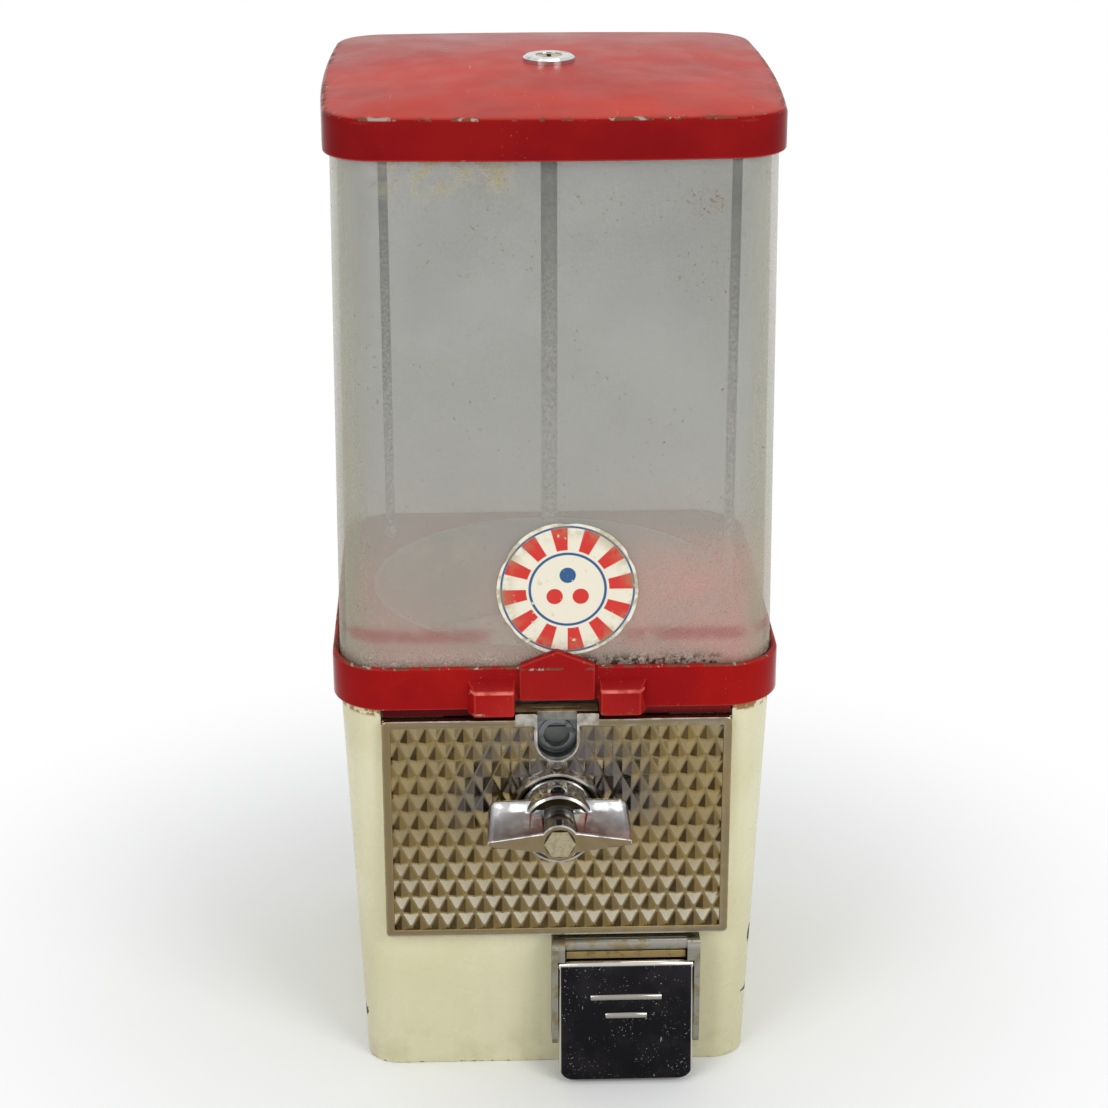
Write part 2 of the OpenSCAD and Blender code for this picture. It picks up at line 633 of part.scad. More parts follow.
// Mechanism housing: a cup behind the coin plate that holds the coin wheel, with a bearing for
// the spindle, a flange screwed to the body, and a block with the coin slot on top.
module mech_housing() color("#8b8377") facing() difference() {
    union() {
        translate([0, axis_z]) disc(cup_r + cup_wall, cup_back, cup_front);
        box(-flange_half, flange_half, mech_screw_z[0] - 6, mech_screw_z[1] + 6, pad_back - 2, pad_back);
        box(-strip_half + 0.3, strip_half - 0.3, axis_z + cup_r, block_z, pad_d - 6.6, cup_front);
        translate([0, axis_z]) disc(8, cup_back - 1.5, cup_back + cut);
    }
    translate([0, axis_z]) {
        disc(cup_r, cup_back + 2.5, cup_front + cut);
        disc(spindle_r + run_fit, cup_back - 3, cup_back + 3);
    }
    box(-coin_w / 2, coin_w / 2, axis_z + 30, block_z + cut, coin_slot_d[0], coin_slot_d[1]);
    box(-11, 11, axis_z - cup_r - cup_wall - cut, axis_z - cup_r + 2, cup_back + 3, cup_front - 1);
    for (x = mech_screw_x, z = mech_screw_z) translate([x, z])
        disc(mech_screw_r + seat_fit, pad_back - 3, pad_back + cut);
    translate(pawl_xz) disc(pawl_pin_r + seat_fit, cup_back - cut, cup_back + 1.5);
}
module mech_screws() color("#b4b5b6") facing() for (x = mech_screw_x, z = mech_screw_z)
    translate([x, z]) {
        disc(mech_screw_r, pad_back - 2, pad_back + 2);
        disc(mech_screw_r + 1.3, pad_back - 4, pad_back - 2);
    }

// Coin wheel: a thick disc with a coin seat open at the top.
module coin_wheel() color("#6d6a64") facing() difference() {
    translate([0, axis_z]) disc(coin_wheel_r, cup_back + 2.5 + clear, pad_d - 0.4);
    translate([0, 0, coin_slot_d[0]]) linear_extrude(4) {
        translate([0, coin_z]) circle(coin_r + 0.25);
        translate([-coin_r - 0.25, coin_z]) square([2 * coin_r + 0.5, coin_wheel_r]);
    }
    translate([0, coin_z]) {
        disc(5, cup_back, pad_d);
        difference() {
            disc(7.5, coin_slot_d[0] - 0.6, coin_slot_d[0] + cut);
            disc(6.9, coin_slot_d[0] - 1, coin_slot_d[0] + 2);
        }
    }
    translate([0, axis_z]) disc(spindle_r + seat_fit, cup_back, pad_d);
}

// Depths of the pieces along the spindle, from the back.
module spindle() color("#a5a7a9") facing() translate([0, axis_z]) difference() {
    disc(spindle_r, spindle_back, hub_front - clear);
    disc(bolt_r + seat_fit, hub_front - 14, hub_front);
}
module spindle_clip() color("#55565a") facing() translate([0, axis_z]) difference() {
    disc(spindle_r + 2.2, spindle_back + 0.6, gear_d - 0.1);
    disc(spindle_r + seat_fit, spindle_back, gear_d + cut);
    translate([-1.6, -8]) cube([3.2, 6, 2 * gear_d]);
}
module ratchet_wheel() color("#8d8778") facing() translate([0, axis_z]) difference() {
    translate([0, 0, ratchet_d]) linear_extrude(ratchet_t) polygon([
        for (k = [0 : ratchet_teeth - 1]) let (a = 120 + 360 * k / ratchet_teeth, w = 360 / ratchet_teeth)
            each [(ratchet_r - 3) * [cos(a - w + 2), sin(a - w + 2)],
                  (ratchet_r - 1.6) * [cos(a - w / 2), sin(a - w / 2)],
                  ratchet_r * [cos(a), sin(a)]]]);
    disc(spindle_r + seat_fit, ratchet_d - cut, ratchet_d + 4);
}

// Drive pinion: involute teeth on a hub that reaches back to the ratchet wheel.
module drive_pinion() color("#b9a06a") facing() translate([0, axis_z]) difference() {
    union() {
        translate([0, 0, gear_d]) linear_extrude(gear_face) {
            circle(pinion_pitch_r - 2.3);
            for (k = [0 : pinion_teeth - 1]) rotate(90 + 360 * k / pinion_teeth) involute_tooth();
        }
        disc(6.5, gear_d + gear_face - 0.5, ratchet_d - 0.1);
    }
    disc(spindle_r + seat_fit, gear_d - cut, ratchet_d + cut);
}
// One tooth along +X: both flanks unwind from the base circle.
module involute_tooth() {
    base_r = pinion_pitch_r * cos(pressure);
    half_angle = half_tooth / pinion_pitch_r * 180 / PI;
    lean = tan(pressure) * 180 / PI - pressure;
    roll = function (r) r <= base_r ? 0 : let (p = acos(base_r / r)) tan(p) * 180 / PI - p;
    radii = [pinion_pitch_r - 2.6, base_r, pinion_pitch_r - 0.2, pinion_pitch_r + 0.9,
             pinion_pitch_r + addendum];
    flank = [for (r = radii) let (a = half_angle + lean - roll(r)) r * [cos(a), sin(a)]];
    polygon(concat([for (p = flank) [p[0], -p[1]]], [for (i = [4 : -1 : 0]) flank[i]]));
}

// Pawl that stops the handle from turning back; its nose rests just clear of a tooth tip.
module pawl() color("#77746c") facing() difference() {
    translate([0, 0, ratchet_d]) linear_extrude(ratchet_t) {
        translate(pawl_xz) circle(4.6);
        polygon([pawl_xz + [0, 4.2], pawl_xz + [0, -2.2], nose_xz + [-2.4, 0.6], nose_xz,
                 nose_xz + [0.9, 2.2]]);
    }
    translate(pawl_xz) disc(pawl_pin_r + run_fit, ratchet_d - cut, ratchet_d + 4);
}
module pawl_pin() color("#b4b5b6") facing() translate(pawl_xz) {
    disc(pawl_pin_r, ratchet_d - 3.6, cup_back + 1.3);
    disc(pawl_pin_r + 1.2, ratchet_d - 4.6, ratchet_d - 3.6);
}
// Coil spring round the pawl's pin.
module pawl_spring() color("#9fa1a3") facing() translate(pawl_xz)
    for (k = [0 : 2]) translate([0, 0, ratchet_d - 0.75 - 1.05 * k]) rotate_extrude()
        translate([pawl_pin_r + 0.65, 0]) circle(0.5);

// Handle: a turned hub and boss with two wings that thin towards the front.
module handle() color("#c9cacb") facing() translate([0, axis_z]) difference() {
    union() {
        rotate_extrude() polygon([[0, hub_back], [hub_r, hub_back], [hub_r, hub_front - 1],
            [hub_r - 1, hub_front], [12, hub_front], [11.2, hub_front - 1], [9.6, hub_front - 1],
            [9, hub_front], [7.6, handle_front - 2], [7, handle_front], [0, handle_front]]);
        hull() {
            wing_slice(handle_front - 0.4, wing_half, 1, 3.9);
            wing_slice(handle_front - 13, wing_half, 4.6, 8.2);
            wing_slice(handle_front - 17, wing_half - 1.8, 5.8, 9.6);
            wing_slice(handle_front - 17.6, wing_half - 4, 5.4, 9.4);
        }
    }
    disc(spindle_r + seat_fit, hub_back - cut, hub_front);
    disc(bolt_r + 0.1, hub_front - cut, handle_front);
    disc(hex_af / sqrt(3) + 0.35, handle_front - bolt_sunk, handle_front + cut);
}
module wing_slice(d, half, tip, mid) translate([0, 0, d]) linear_extrude(0.4)
    polygon([for (s = [1, -1]) each [s * [half, -tip], s * [half, tip], s * [7, mid], s * [-7, mid]]]);
module handle_bolt() color("#3f3a34") facing() translate([0, axis_z]) {
    translate([0, 0, handle_front - bolt_sunk])
        cylinder(r = hex_af / sqrt(3), h = bolt_sunk + 0.8, $fn = 6);
    disc(bolt_r, hub_front - 12, handle_front - bolt_sunk + 0.5);
}

// Depth of the body's tapered front at height z.
function face_d(z) = body_half(z) + 0.05;
// Points on an arc in the depth-height plane, with depth drawn as -Y.
function arc(c, r, from, to, n = 6) = [for (i = [0 : n]) let (a = from + (to - from) * i / n)
    [c[0] + r * cos(a), c[1] + r * sin(a)]];

// Hood: two side walls with thicker cheeks at the top, joined by a top plate and a round bar.
module hood_side() polygon(concat(
    [[-face_d(hood_low), hood_low], [-face_d(hood_top), hood_top]],
    arc([-pin_d + 1, hood_top - 4], 4, 90, 165),
    [[-pin_d - 2.4, pin_z]],
    arc([-flap_low_d + 8.6, hood_low + 5], 5, 190, 270)));
module chute_hood() color("#84857f") difference() {
    union() {
        for (side = [-1, 1]) {
            inner = hood_half - hood_wall;
            across(chute_x + (side < 0 ? -hood_half : inner), chute_x + (side < 0 ? -inner : hood_half))
                hood_side();
            across(chute_x + (side < 0 ? -inner - cut : hood_half - cheek_w),
                   chute_x + (side < 0 ? -hood_half + cheek_w : inner + cut))
                intersection() {
                    hood_side();
                    translate([-100, pin_z + barrel_flap_r + clear + 0.2]) square([100, 20]);
                }
        }
        box(chute_x - inner_bar, chute_x + inner_bar, -pin_d + 2, -face_d(hood_top), hood_top - 1.7, hood_top);
        across(chute_x - inner_bar, chute_x + inner_bar) translate([-pin_d + 2.2, bar_z]) circle(bar_r);
    }
    across(chute_x - hood_half - cut, chute_x + hood_half + cut) translate([-pin_d, pin_z])
        circle(flap_pin_r + seat_fit);
    for (x = hood_screw_x) translate([x, 0, hood_screw_z]) facing() 
        disc(hood_screw_r + seat_fit, foot_half - 5, face_d(hood_top) + 4.5);
}
module hood_screws() color("#b4b5b6") for (x = hood_screw_x) translate([x, 0, hood_screw_z]) facing() {
    back = body_half(hood_screw_z) - body_wall - 0.35;
    disc(hood_screw_r, back, back + 6.5);
    disc(hood_screw_r + 0.65, back - 1.6, back);
}

// Channel from the exit hole down to a spout behind the flap, with a round neck under the hopper.
module channel_side() polygon([[-5, channel_top], [-5, 42], [-60, 9.5], [-flap_low_d + 3.4, 5.6],
    [-pin_d + 0.2, pin_z - 5.6], [-foot_half - 3.2, pin_z + 1.6], [-foot_half + 0.7, mouth_z[1] - 0.5],
    [-40, channel_top]]);
module chute_channel() color("#9b9d9c") difference() {
    union() {
        across(chute_x - channel_half, chute_x + channel_half) channel_side();
        translate(exit_xy) disc(exit_r + channel_wall, channel_top - cut, platform_z - platform_t - 0.2);
    }
    across(chute_x - channel_half + channel_wall, chute_x + channel_half - channel_wall) {
        offset(delta = -channel_wall) channel_side();
        translate([-flap_low_d - 2, 6.6 + channel_wall]) square([32, pin_z - 8]);
    }
    translate(exit_xy) disc(exit_r, channel_top - 3, platform_z);
}

// Flap: a bowed sheet hung from a rolled barrel, with side flanges and two finger ribs.
module flap() color("#4a4844") difference() {
    union() {
        intersection() {
            union() {
                across(chute_x - flap_half, chute_x + flap_half) flap_sheet(0, flap_t);
                for (s = [-1, 1]) across(chute_x + s * flap_half - (s > 0 ? flap_t : 0),
                    chute_x + s * flap_half + (s < 0 ? flap_t : 0)) flap_sheet(0, 5);
            }
            facing() linear_extrude(200) {
                card(chute_x - flap_half, chute_x + flap_half, flap_low, pin_z - 2, 5.5);
                translate([chute_x - flap_half, pin_z - 12]) square([2 * flap_half, 20]);
            }
        }
        across(chute_x - flap_half, chute_x + flap_half) translate([-pin_d, pin_z]) circle(barrel_flap_r);
        for (rib = [[10.5, 31], [6.5, 22]]) across(chute_x - rib[0], chute_x + rib[0])
            translate([-flap_front(rib[1]), rib[1]]) circle(0.9);
    }
    across(chute_x - flap_half - cut, chute_x + flap_half + cut) translate([-pin_d, pin_z])
        circle(flap_pin_r + run_fit);
}
// Depth of the flap's front face at height z.
function flap_front(z) = flap_low_d + (pin_d + barrel_flap_r - flap_low_d) * (z - flap_low) / (pin_z - flap_low);
module flap_sheet(front, depth) polygon([
    [-flap_front(pin_z), pin_z], [-flap_front(flap_low), flap_low],
    [-flap_front(flap_low) + depth, flap_low], [-flap_front(pin_z) + depth, pin_z]]);
module flap_pin() color("#9a9a96") across(chute_x - hood_half + 0.4, chute_x + hood_half - 0.4)
    translate([-pin_d, pin_z]) circle(flap_pin_r);

base_shell();
base_plate();
centre_rod();
rod_nut();
collar();
side_rods();
hopper_bowl();
bowl_screws();
brush_holder();
brush();
product_wheel();
crown_gear();
agitator();
globe();
label();
lid();
lock_body();
lock_nut();
lock_plug();
coin_plate();
mech_housing();
mech_screws();
coin_wheel();
spindle();
spindle_bush();
spindle_clip();
ratchet_wheel();
drive_pinion();
pawl();
pawl_pin();
pawl_spring();
handle();
handle_bolt();
chute_hood();
hood_screws();
chute_channel();
flap();
flap_pin();
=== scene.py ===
# %% [markdown]
# # A square gumball machine
# The machine is a cream cast body with a nickel coin plate, a red collar, a hazy clear globe and
# a red lid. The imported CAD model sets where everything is. This script dresses it: it keeps the CAD
# pieces that look right and only paints them, and it models the ones that need rounder edges.
# Blender works in metres here, and the origin is the middle of the machine's underside.

# %% Load the frame
import math
from functools import partialmethod
import bmesh
import bpy
import numpy as np
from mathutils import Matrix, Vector


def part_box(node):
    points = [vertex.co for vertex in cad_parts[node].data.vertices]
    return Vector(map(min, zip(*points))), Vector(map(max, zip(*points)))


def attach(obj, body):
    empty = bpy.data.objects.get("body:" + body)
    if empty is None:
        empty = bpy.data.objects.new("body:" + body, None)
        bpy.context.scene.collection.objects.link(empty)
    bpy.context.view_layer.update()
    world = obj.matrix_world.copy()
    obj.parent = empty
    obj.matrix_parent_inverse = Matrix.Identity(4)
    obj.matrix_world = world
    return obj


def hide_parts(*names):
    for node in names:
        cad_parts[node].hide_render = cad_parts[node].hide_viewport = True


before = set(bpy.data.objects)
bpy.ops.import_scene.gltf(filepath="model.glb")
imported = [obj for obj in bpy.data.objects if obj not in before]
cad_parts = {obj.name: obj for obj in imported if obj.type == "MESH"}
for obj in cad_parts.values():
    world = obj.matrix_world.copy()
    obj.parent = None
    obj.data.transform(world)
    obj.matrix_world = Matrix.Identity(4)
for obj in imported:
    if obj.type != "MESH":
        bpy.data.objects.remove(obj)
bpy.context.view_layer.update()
MM = 0.001

# %% [markdown]
# ## The camera
# A camera is placed by where it stands, how far it looks down and how far it turns. Its lens
# follows from the field of view: 87 mm on a 36 mm sensor is a mild telephoto, as for a product shot.

# %% Camera
CAMERA_AT = (-0.0334, -1.0048, 0.5774)
LOOK_DOWN, TURN_RIGHT, ROLL = 21.137, 2.02, 0.035
FOCAL_MM, SENSOR_MM = 87.07, 36.0
camera = bpy.data.objects.new("camera", bpy.data.cameras.new("camera"))
camera.data.sensor_width = SENSOR_MM
camera.data.lens = FOCAL_MM
camera.location = CAMERA_AT
camera.rotation_euler = [math.radians(a) for a in (90 - LOOK_DOWN, ROLL, -TURN_RIGHT)]
bpy.context.scene.collection.objects.link(camera)
bpy.context.scene.camera = camera
bpy.context.scene.view_settings.view_transform = "Standard"
print("lens:", camera.data.lens, "mm")

# %% [markdown]
# ## Surfaces as arrays
# Every piece modelled here starts as a grid of points: a loop of points seen from above, repeated
# for each step of a profile. numpy works out the whole grid at once, and the grid becomes a mesh
# of four-sided faces. The sign of the volume that the faces enclose tells whether they point
# outwards, so each closed shape is measured and turned round if it has to be.

# %% From grids to meshes
def grid_faces(rows, columns, closed_rows=False, closed_columns=False):
    """Face (i, j) joins points (i, j), (i, j+1), (i+1, j+1), (i+1, j); a closed side wraps round."""
    i = np.arange(rows if closed_rows else rows - 1)[:, None]
    j = np.arange(columns if closed_columns else columns - 1)[None, :]
    i2, j2 = (i + 1) % rows, (j + 1) % columns
    corners = np.broadcast_arrays(i * columns + j, i * columns + j2, i2 * columns + j2, i2 * columns + j)
    return np.stack(corners, axis=-1).reshape(-1, 4)


def end_caps(rows, n):
    """One many-sided face on the first row, turned round, and one on the last."""
    return [np.arange(n)[::-1], np.arange((rows - 1) * n, rows * n)]


def enclosed(points, faces):
    """Signed volume: one sixth of the sum of a . (b x c) over a fan of triangles in each face."""
    total = 0.0
    for k in range(1, faces.shape[1] - 1):
        a, b, c = (points[faces[:, n]] for n in (0, k, k + 1))
        total += float(np.einsum("ij,ij->", a, np.cross(b, c))) / 6
    return total


def placed(name, data):
    """A new object with this mesh, lamp or other data, linked to the scene."""
    made = bpy.data.objects.new(name, data)
    bpy.context.scene.collection.objects.link(made)
    return made


def shape(name, points, quads, caps=()):
    """A mesh object in metres from points in millimetres, with its faces turned outwards."""
    points = np.asarray(points, dtype=float).reshape(-1, 3) * MM
    quads, caps = np.asarray(quads), [np.asarray(c) for c in caps]
    if enclosed(points, quads) + sum(enclosed(points, c[None, :]) for c in caps) < 0:
        quads, caps = quads[:, ::-1], [c[::-1] for c in caps]
    mesh = bpy.data.meshes.new(name)
    mesh.from_pydata(points.tolist(), [], quads.tolist() + [c.tolist() for c in caps])
    mesh.validate()
    return placed(name, mesh)


def stacked(name, grid, ends_open=False):
    """Closes a grid of rows of points: each row wraps round, and the ends get caps or meet each other."""
    grid = np.asarray(grid, dtype=float)
    rows, n = grid.shape[:2]
    caps = () if ends_open else end_caps(rows, n)
    return shape(name, grid, grid_faces(rows, n, closed_rows=ends_open, closed_columns=True), caps)


# %% Modifiers
def applied(made):
    """Turns the object's modifiers into plain mesh."""
    evaluated = made.evaluated_get(bpy.context.evaluated_depsgraph_get())
    mesh = bpy.data.meshes.new_from_object(evaluated)
    made.modifiers.clear()
    made.data = mesh
    return made


def combine(made, *tools, operation="DIFFERENCE"):
    """Cuts the tools out of the object, or unites them with it, and deletes the tools."""
    for tool in tools:
        step = made.modifiers.new("combine", "BOOLEAN")
        step.object, step.operation, step.solver = tool, operation, "EXACT"
        applied(made)
        bpy.data.objects.remove(tool)
    return made


def bevelled(made, width_mm, angle=30.0):
    """Rounds every edge sharper than the angle with three narrow strips of faces."""
    step = made.modifiers.new("edge", "BEVEL")
    step.width, step.segments = width_mm * MM, 3
    step.limit_method, step.angle_limit = "ANGLE", math.radians(angle)
    step.use_clamp_overlap = True
    return applied(made)


# %% Handing a piece over
def read(items, field, kind, columns):
    """One field of all the items as an array with so many columns."""
    values = np.empty(columns * len(items), dtype=kind)
    items.foreach_get(field, values)
    return values.reshape(-1, columns)


def mark_edges(mesh):
    """Attribute "wear": mean over a point's edges of 2 n . (p - q) / |p - q| ** 2, times 1 mm.

    It is the curvature at the point, so it is 0 on a flat face and near 1 on an edge of 0.5 mm radius.
    """
    points, normals = read(mesh.vertices, "co", float, 3), read(mesh.vertices, "normal", float, 3)
    ends = read(mesh.edges, "vertices", np.int32, 2)
    total, met = np.zeros(len(points)), np.zeros(len(points))
    for a, b in (ends.T, ends.T[::-1]):
        step = points[a] - points[b]
        length = np.maximum(np.einsum("ij,ij->i", step, step), 1e-9)
        np.add.at(total, a, 2 * np.einsum("ij,ij->i", normals[a], step) / length)
        np.add.at(met, a, 1)
    wear = np.clip(total / np.maximum(met, 1) * MM, 0, 1)
    mesh.attributes.new("wear", "FLOAT", "POINT").data.foreach_set("value", wear.astype(np.float32))


def file_piece(made, body, *nodes, smooth=35.0):
    """Shades the piece smooth below an angle, marks its outer edges, hangs it on its body's empty, and hides
    the CAD nodes it replaces.
    """
    mesh = made.data
    mesh.polygons.foreach_set("use_smooth", np.ones(len(mesh.polygons), dtype=bool))
    mesh.set_sharp_from_angle(angle=math.radians(smooth))
    mark_edges(mesh)
    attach(made, body)
    if nodes:
        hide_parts(*nodes)
    print(f"{made.name}: {len(mesh.polygons)} faces, rides on {body}")
    return made


# %% Square sections with round corners
def square_loop(half, corner, bow=0.0, arc_points=13, side_points=15):
    """A square of half width half with round corners, seen from above, counter-clockwise.

    Each quarter is an arc of radius corner about (half - corner), then a side whose point at x
    stands out by bow * (1 - (x / s) ** 2), with s = half - corner.
    """
    s = half - corner
    a = np.linspace(0, np.pi / 2, arc_points)
    t = np.linspace(1, -1, side_points + 2)[1:-1]
    quarter = np.concatenate([np.stack([s + corner * np.cos(a), s + corner * np.sin(a)], 1),
                              np.stack([s * t, half + bow * (1 - t ** 2)], 1)])
    turn = np.array([[0.0, -1.0], [1.0, 0.0]])
    return np.concatenate([quarter @ np.linalg.matrix_power(turn, q).T for q in range(4)])


def swept(name, profile, **counts):
    """A closed wall: one square loop for each row [z, half, corner, bow], back to the first row."""
    loops = [square_loop(*row[1:], **counts) for row in profile]
    return stacked(name, [np.column_stack([loop, np.full(len(loop), row[0])])
                          for row, loop in zip(profile, loops)], ends_open=True)


def arc(x, z, radius, start, end, steps=5):
    """Points (x, z) on an arc round a centre, from start to end in degrees."""
    t = np.radians(np.linspace(start, end, steps + 1))
    return np.stack([x + radius * np.cos(t), z + radius * np.sin(t)], axis=1)


def about(half, middle=0.0):
    """The limits of a width that lies half on each side of the middle."""
    return middle - half, middle + half


def slab(name, x, y, z):
    """A box from its limits along each axis, used to cut and to unite."""
    points = [(i, j, k) for i in x for j in y for k in z]
    faces = [(0, 1, 3, 2), (4, 6, 7, 5), (0, 4, 5, 1), (2, 3, 7, 6), (0, 2, 6, 4), (1, 5, 7, 3)]
    return shape(name, points, faces)


def mm(node):
    """A node's lowest and highest corners in millimetres."""
    return [np.array(c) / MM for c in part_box(node)]


print("a loop has", len(square_loop(50, 10)), "points")

# %% [markdown]
# ## The body
# The real body is one zinc casting: four leaning walls with large corner radii, open at the foot
# and the top, with a flat pad in front for the coin plate. It could be a cube with bevels, but the
# walls lean and the corners grow from foot to rim, so a swept section is simpler and exact. The
# section runs up the outside, over the rim, down the inside and under the foot.
# From here on, a depth is a distance in front of the middle, so depth d lies at y = -d.

# %% Body casting
BODY_TOP, BODY_WALL, FOOT_CORNER, RIM_CORNER, FOOT_HALF = 163.0, 2.5, 13.0, 18.0, 75.3
RIM_HALF = mm("base_shell")[1][0]
PLATE_LOW, PLATE_HIGH, PLATE_HALF, PAD_D = 62.0, 154.3, 66.4, 81.9
RECESS_Z, RECESS_D = PLATE_HIGH - 2.5, 78.7
AHEAD = -90.0                        # in front of everything that a cutting block has to pass
HOUSING_HALF, HOUSING_LOW = 43, 72   # the hole that the coin mechanism goes through
CHUTE_HOLE_X, CHUTE_HOLE_Z = (2.0, 51.7), (5, 55)


def body_row(z, inset=0.0):
    """Half width and corner radius at height z: both grow evenly from the foot to the rim."""
    t = np.clip(z / BODY_TOP, 0, 1)
    return [z, FOOT_HALF + (RIM_HALF - FOOT_HALF) * t - inset,
            FOOT_CORNER + (RIM_CORNER - FOOT_CORNER) * t - inset]


def wall_section(edge=0.7, steps=4):
    """Up the outer wall, round the rim, down the inner wall, and round the foot."""
    heights = np.linspace(edge + 0.1, BODY_TOP - edge, 24)
    turn = np.radians(np.linspace(0, 90, steps + 1))
    outer = [body_row(z) for z in heights]
    rim = [body_row(BODY_TOP - edge + edge * math.sin(a), edge - edge * math.cos(a)) for a in turn[1:]]
    inner = [body_row(z, BODY_WALL) for z in heights[::-1]]
    foot = [body_row(edge - edge * math.sin(a), edge - edge * math.cos(a)) for a in turn[::-1]]
    return outer + rim + inner + foot


body_casting = swept("body_casting", wall_section(), arc_points=19)
pad = slab("pad", about(PLATE_HALF), (-PAD_D, -RECESS_D), (PLATE_LOW, RECESS_Z))
backing = slab("backing", about(PLATE_HALF), (-RECESS_D, -RECESS_D + 2.4), (PLATE_LOW, BODY_TOP - 0.8))
combine(body_casting, pad, backing, operation="UNION")
combine(body_casting,
        slab("seat", about(PLATE_HALF + 0.2), (AHEAD, -RECESS_D), (RECESS_Z, BODY_TOP + 1)),
        slab("window", about(HOUSING_HALF), (AHEAD, -70), (HOUSING_LOW, BODY_TOP + 1)),
        slab("mouth", CHUTE_HOLE_X, (AHEAD, -67), CHUTE_HOLE_Z))
file_piece(body_casting, "housing", "base_shell", smooth=30)

# %% [markdown]
# ## The collar
# The red collar sits over the body's rim like a picture frame. It holds the globe in a groove and
# carries a raised floor with a round opening for the hopper. One section swept round gives all of
# that: its innermost ring has a corner radius as large as its half width, which makes it a circle.
# Two cast tabs and a pointed badge stand on its front, and behind its skirt a thin apron hangs into
# the recess over the coin plate.

# %% Collar frame
COLLAR_HALF, GROOVE_HALF, LIP_HALF, INSIDE_HALF, OPENING_R = 84.8, 82.5, 78.0, 75.7, 71.0
COLLAR_LOW, COLLAR_TOP, SHELF_Z, FLOOR_Z, FLOOR_UNDER = 159.0, 176.3, 165.0, 178.5, 176.2
COLLAR_CORNER, COLLAR_ROUND, SKIRT_ROUND = 21.4, 1.2, 0.8
NEARLY = 0.999                       # a corner this much of the half width keeps four tiny sides
section = [(OPENING_R, FLOOR_UNDER), (OPENING_R, FLOOR_Z - 0.4), (OPENING_R + 0.4, FLOOR_Z)]
section += [*arc(LIP_HALF - COLLAR_ROUND, FLOOR_Z - COLLAR_ROUND, COLLAR_ROUND, 90, 0)]
section += [(LIP_HALF, SHELF_Z), (GROOVE_HALF, SHELF_Z), (GROOVE_HALF, COLLAR_TOP - 0.5)]
section += [*arc(COLLAR_HALF - COLLAR_ROUND, COLLAR_TOP - COLLAR_ROUND, COLLAR_ROUND, 100, 0, 6)]
section += [*arc(COLLAR_HALF - SKIRT_ROUND, COLLAR_LOW + SKIRT_ROUND, SKIRT_ROUND, 0, -90, 4)]
section += [(GROOVE_HALF + 0.1, COLLAR_LOW), (GROOVE_HALF + 0.1, BODY_TOP),
            (INSIDE_HALF, BODY_TOP), (INSIDE_HALF, FLOOR_UNDER)]


def collar_corner(half):
    """A true circle at the opening, a cast corner elsewhere that keeps the wall even."""
    return half * NEARLY if half < OPENING_R + 1 else COLLAR_CORNER - (COLLAR_HALF - half)


collar_frame = swept("collar_frame", [[z, half, collar_corner(half)] for half, z in section], arc_points=21)
TAB_GAP, TAB_W = 15.8, 17.8
combine(collar_frame, slab("notch", about(TAB_GAP), (AHEAD, -GROOVE_HALF + 0.2), (150, BODY_TOP)))

# %% [markdown]
# The tabs and the badge are blocks with slanted faces, so each is the convex hull of a few corner
# points. A bevel of about half a millimetre gives them the soft edges of a casting.

# %% Tabs, badge and aprons
def hull_of(name, points):
    """The smallest convex solid round the points."""
    work = bmesh.new()
    for p in points:
        work.verts.new([c * MM for c in p])
    made = bmesh.ops.convex_hull(work, input=work.verts)
    bmesh.ops.delete(work, geom=[g for g in made["geom_interior"] + made["geom_unused"]], context="VERTS")
    bmesh.ops.dissolve_limit(work, angle_limit=0.01, verts=work.verts, edges=work.edges)
    bmesh.ops.recalc_face_normals(work, faces=work.faces)
    mesh = bpy.data.meshes.new(name)
    work.to_mesh(mesh)
    work.free()
    return placed(name, mesh)


TAB_OUT, TAB_LOW, TAB_HIGH, TAB_FACE_HIGH = 5.2, COLLAR_LOW - 1.2, 171, 168


def tab_points(side):
    """Back outline on the wall, and a smaller front face that stands out by TAB_OUT."""
    back = [(x, y, z) for x in (TAB_GAP, TAB_GAP + TAB_W) for y in (-COLLAR_HALF, -COLLAR_HALF + 1)
            for z in (TAB_LOW, TAB_HIGH)]
    front = [(x, -COLLAR_HALF - TAB_OUT, z) for x in (TAB_GAP + 0.6, TAB_GAP + TAB_W - 2.5)
             for z in (TAB_LOW + 0.2, TAB_FACE_HIGH)]
    return [(side * x, y, z) for x, y, z in back + front]


BADGE_HALF, BADGE_APEX, BADGE_D = 14.2, 183.0, 86.5
badge_face = [(-BADGE_HALF, BODY_TOP), (BADGE_HALF, BODY_TOP), (BADGE_HALF, COLLAR_TOP + 1),
              (0, BADGE_APEX), (-BADGE_HALF, COLLAR_TOP + 1)]
badge = hull_of("badge", [(x, y, z) for x, z in badge_face for y in (-GROOVE_HALF, -BADGE_D)])
BLOCK_CLEAR, APRON_HALF = 16.3, 66.0   # the apron leaves room for the coin slot's block
APRON_Y, APRON_LOW = (-80.4, -78.9), PLATE_HIGH + 0.4
aprons = [slab("apron", tuple(sorted((side * BLOCK_CLEAR, side * APRON_HALF))), APRON_Y,
               (APRON_LOW, SHELF_Z - 0.5)) for side in (-1, 1)]
combine(collar_frame, *[bevelled(hull_of("tab", tab_points(side)), 0.6) for side in (-1, 1)],
        bevelled(badge, 0.7), *aprons, operation="UNION")
file_piece(collar_frame, "housing", "collar")

# %% [markdown]
# ## The globe
# The globe is four flat walls of clear plastic with round corners, open at both ends. It narrows a
# little towards the top. A real wall with an inner and an outer face matters here: light bends
# at both faces, and that gives the corners their bright and dark lines.

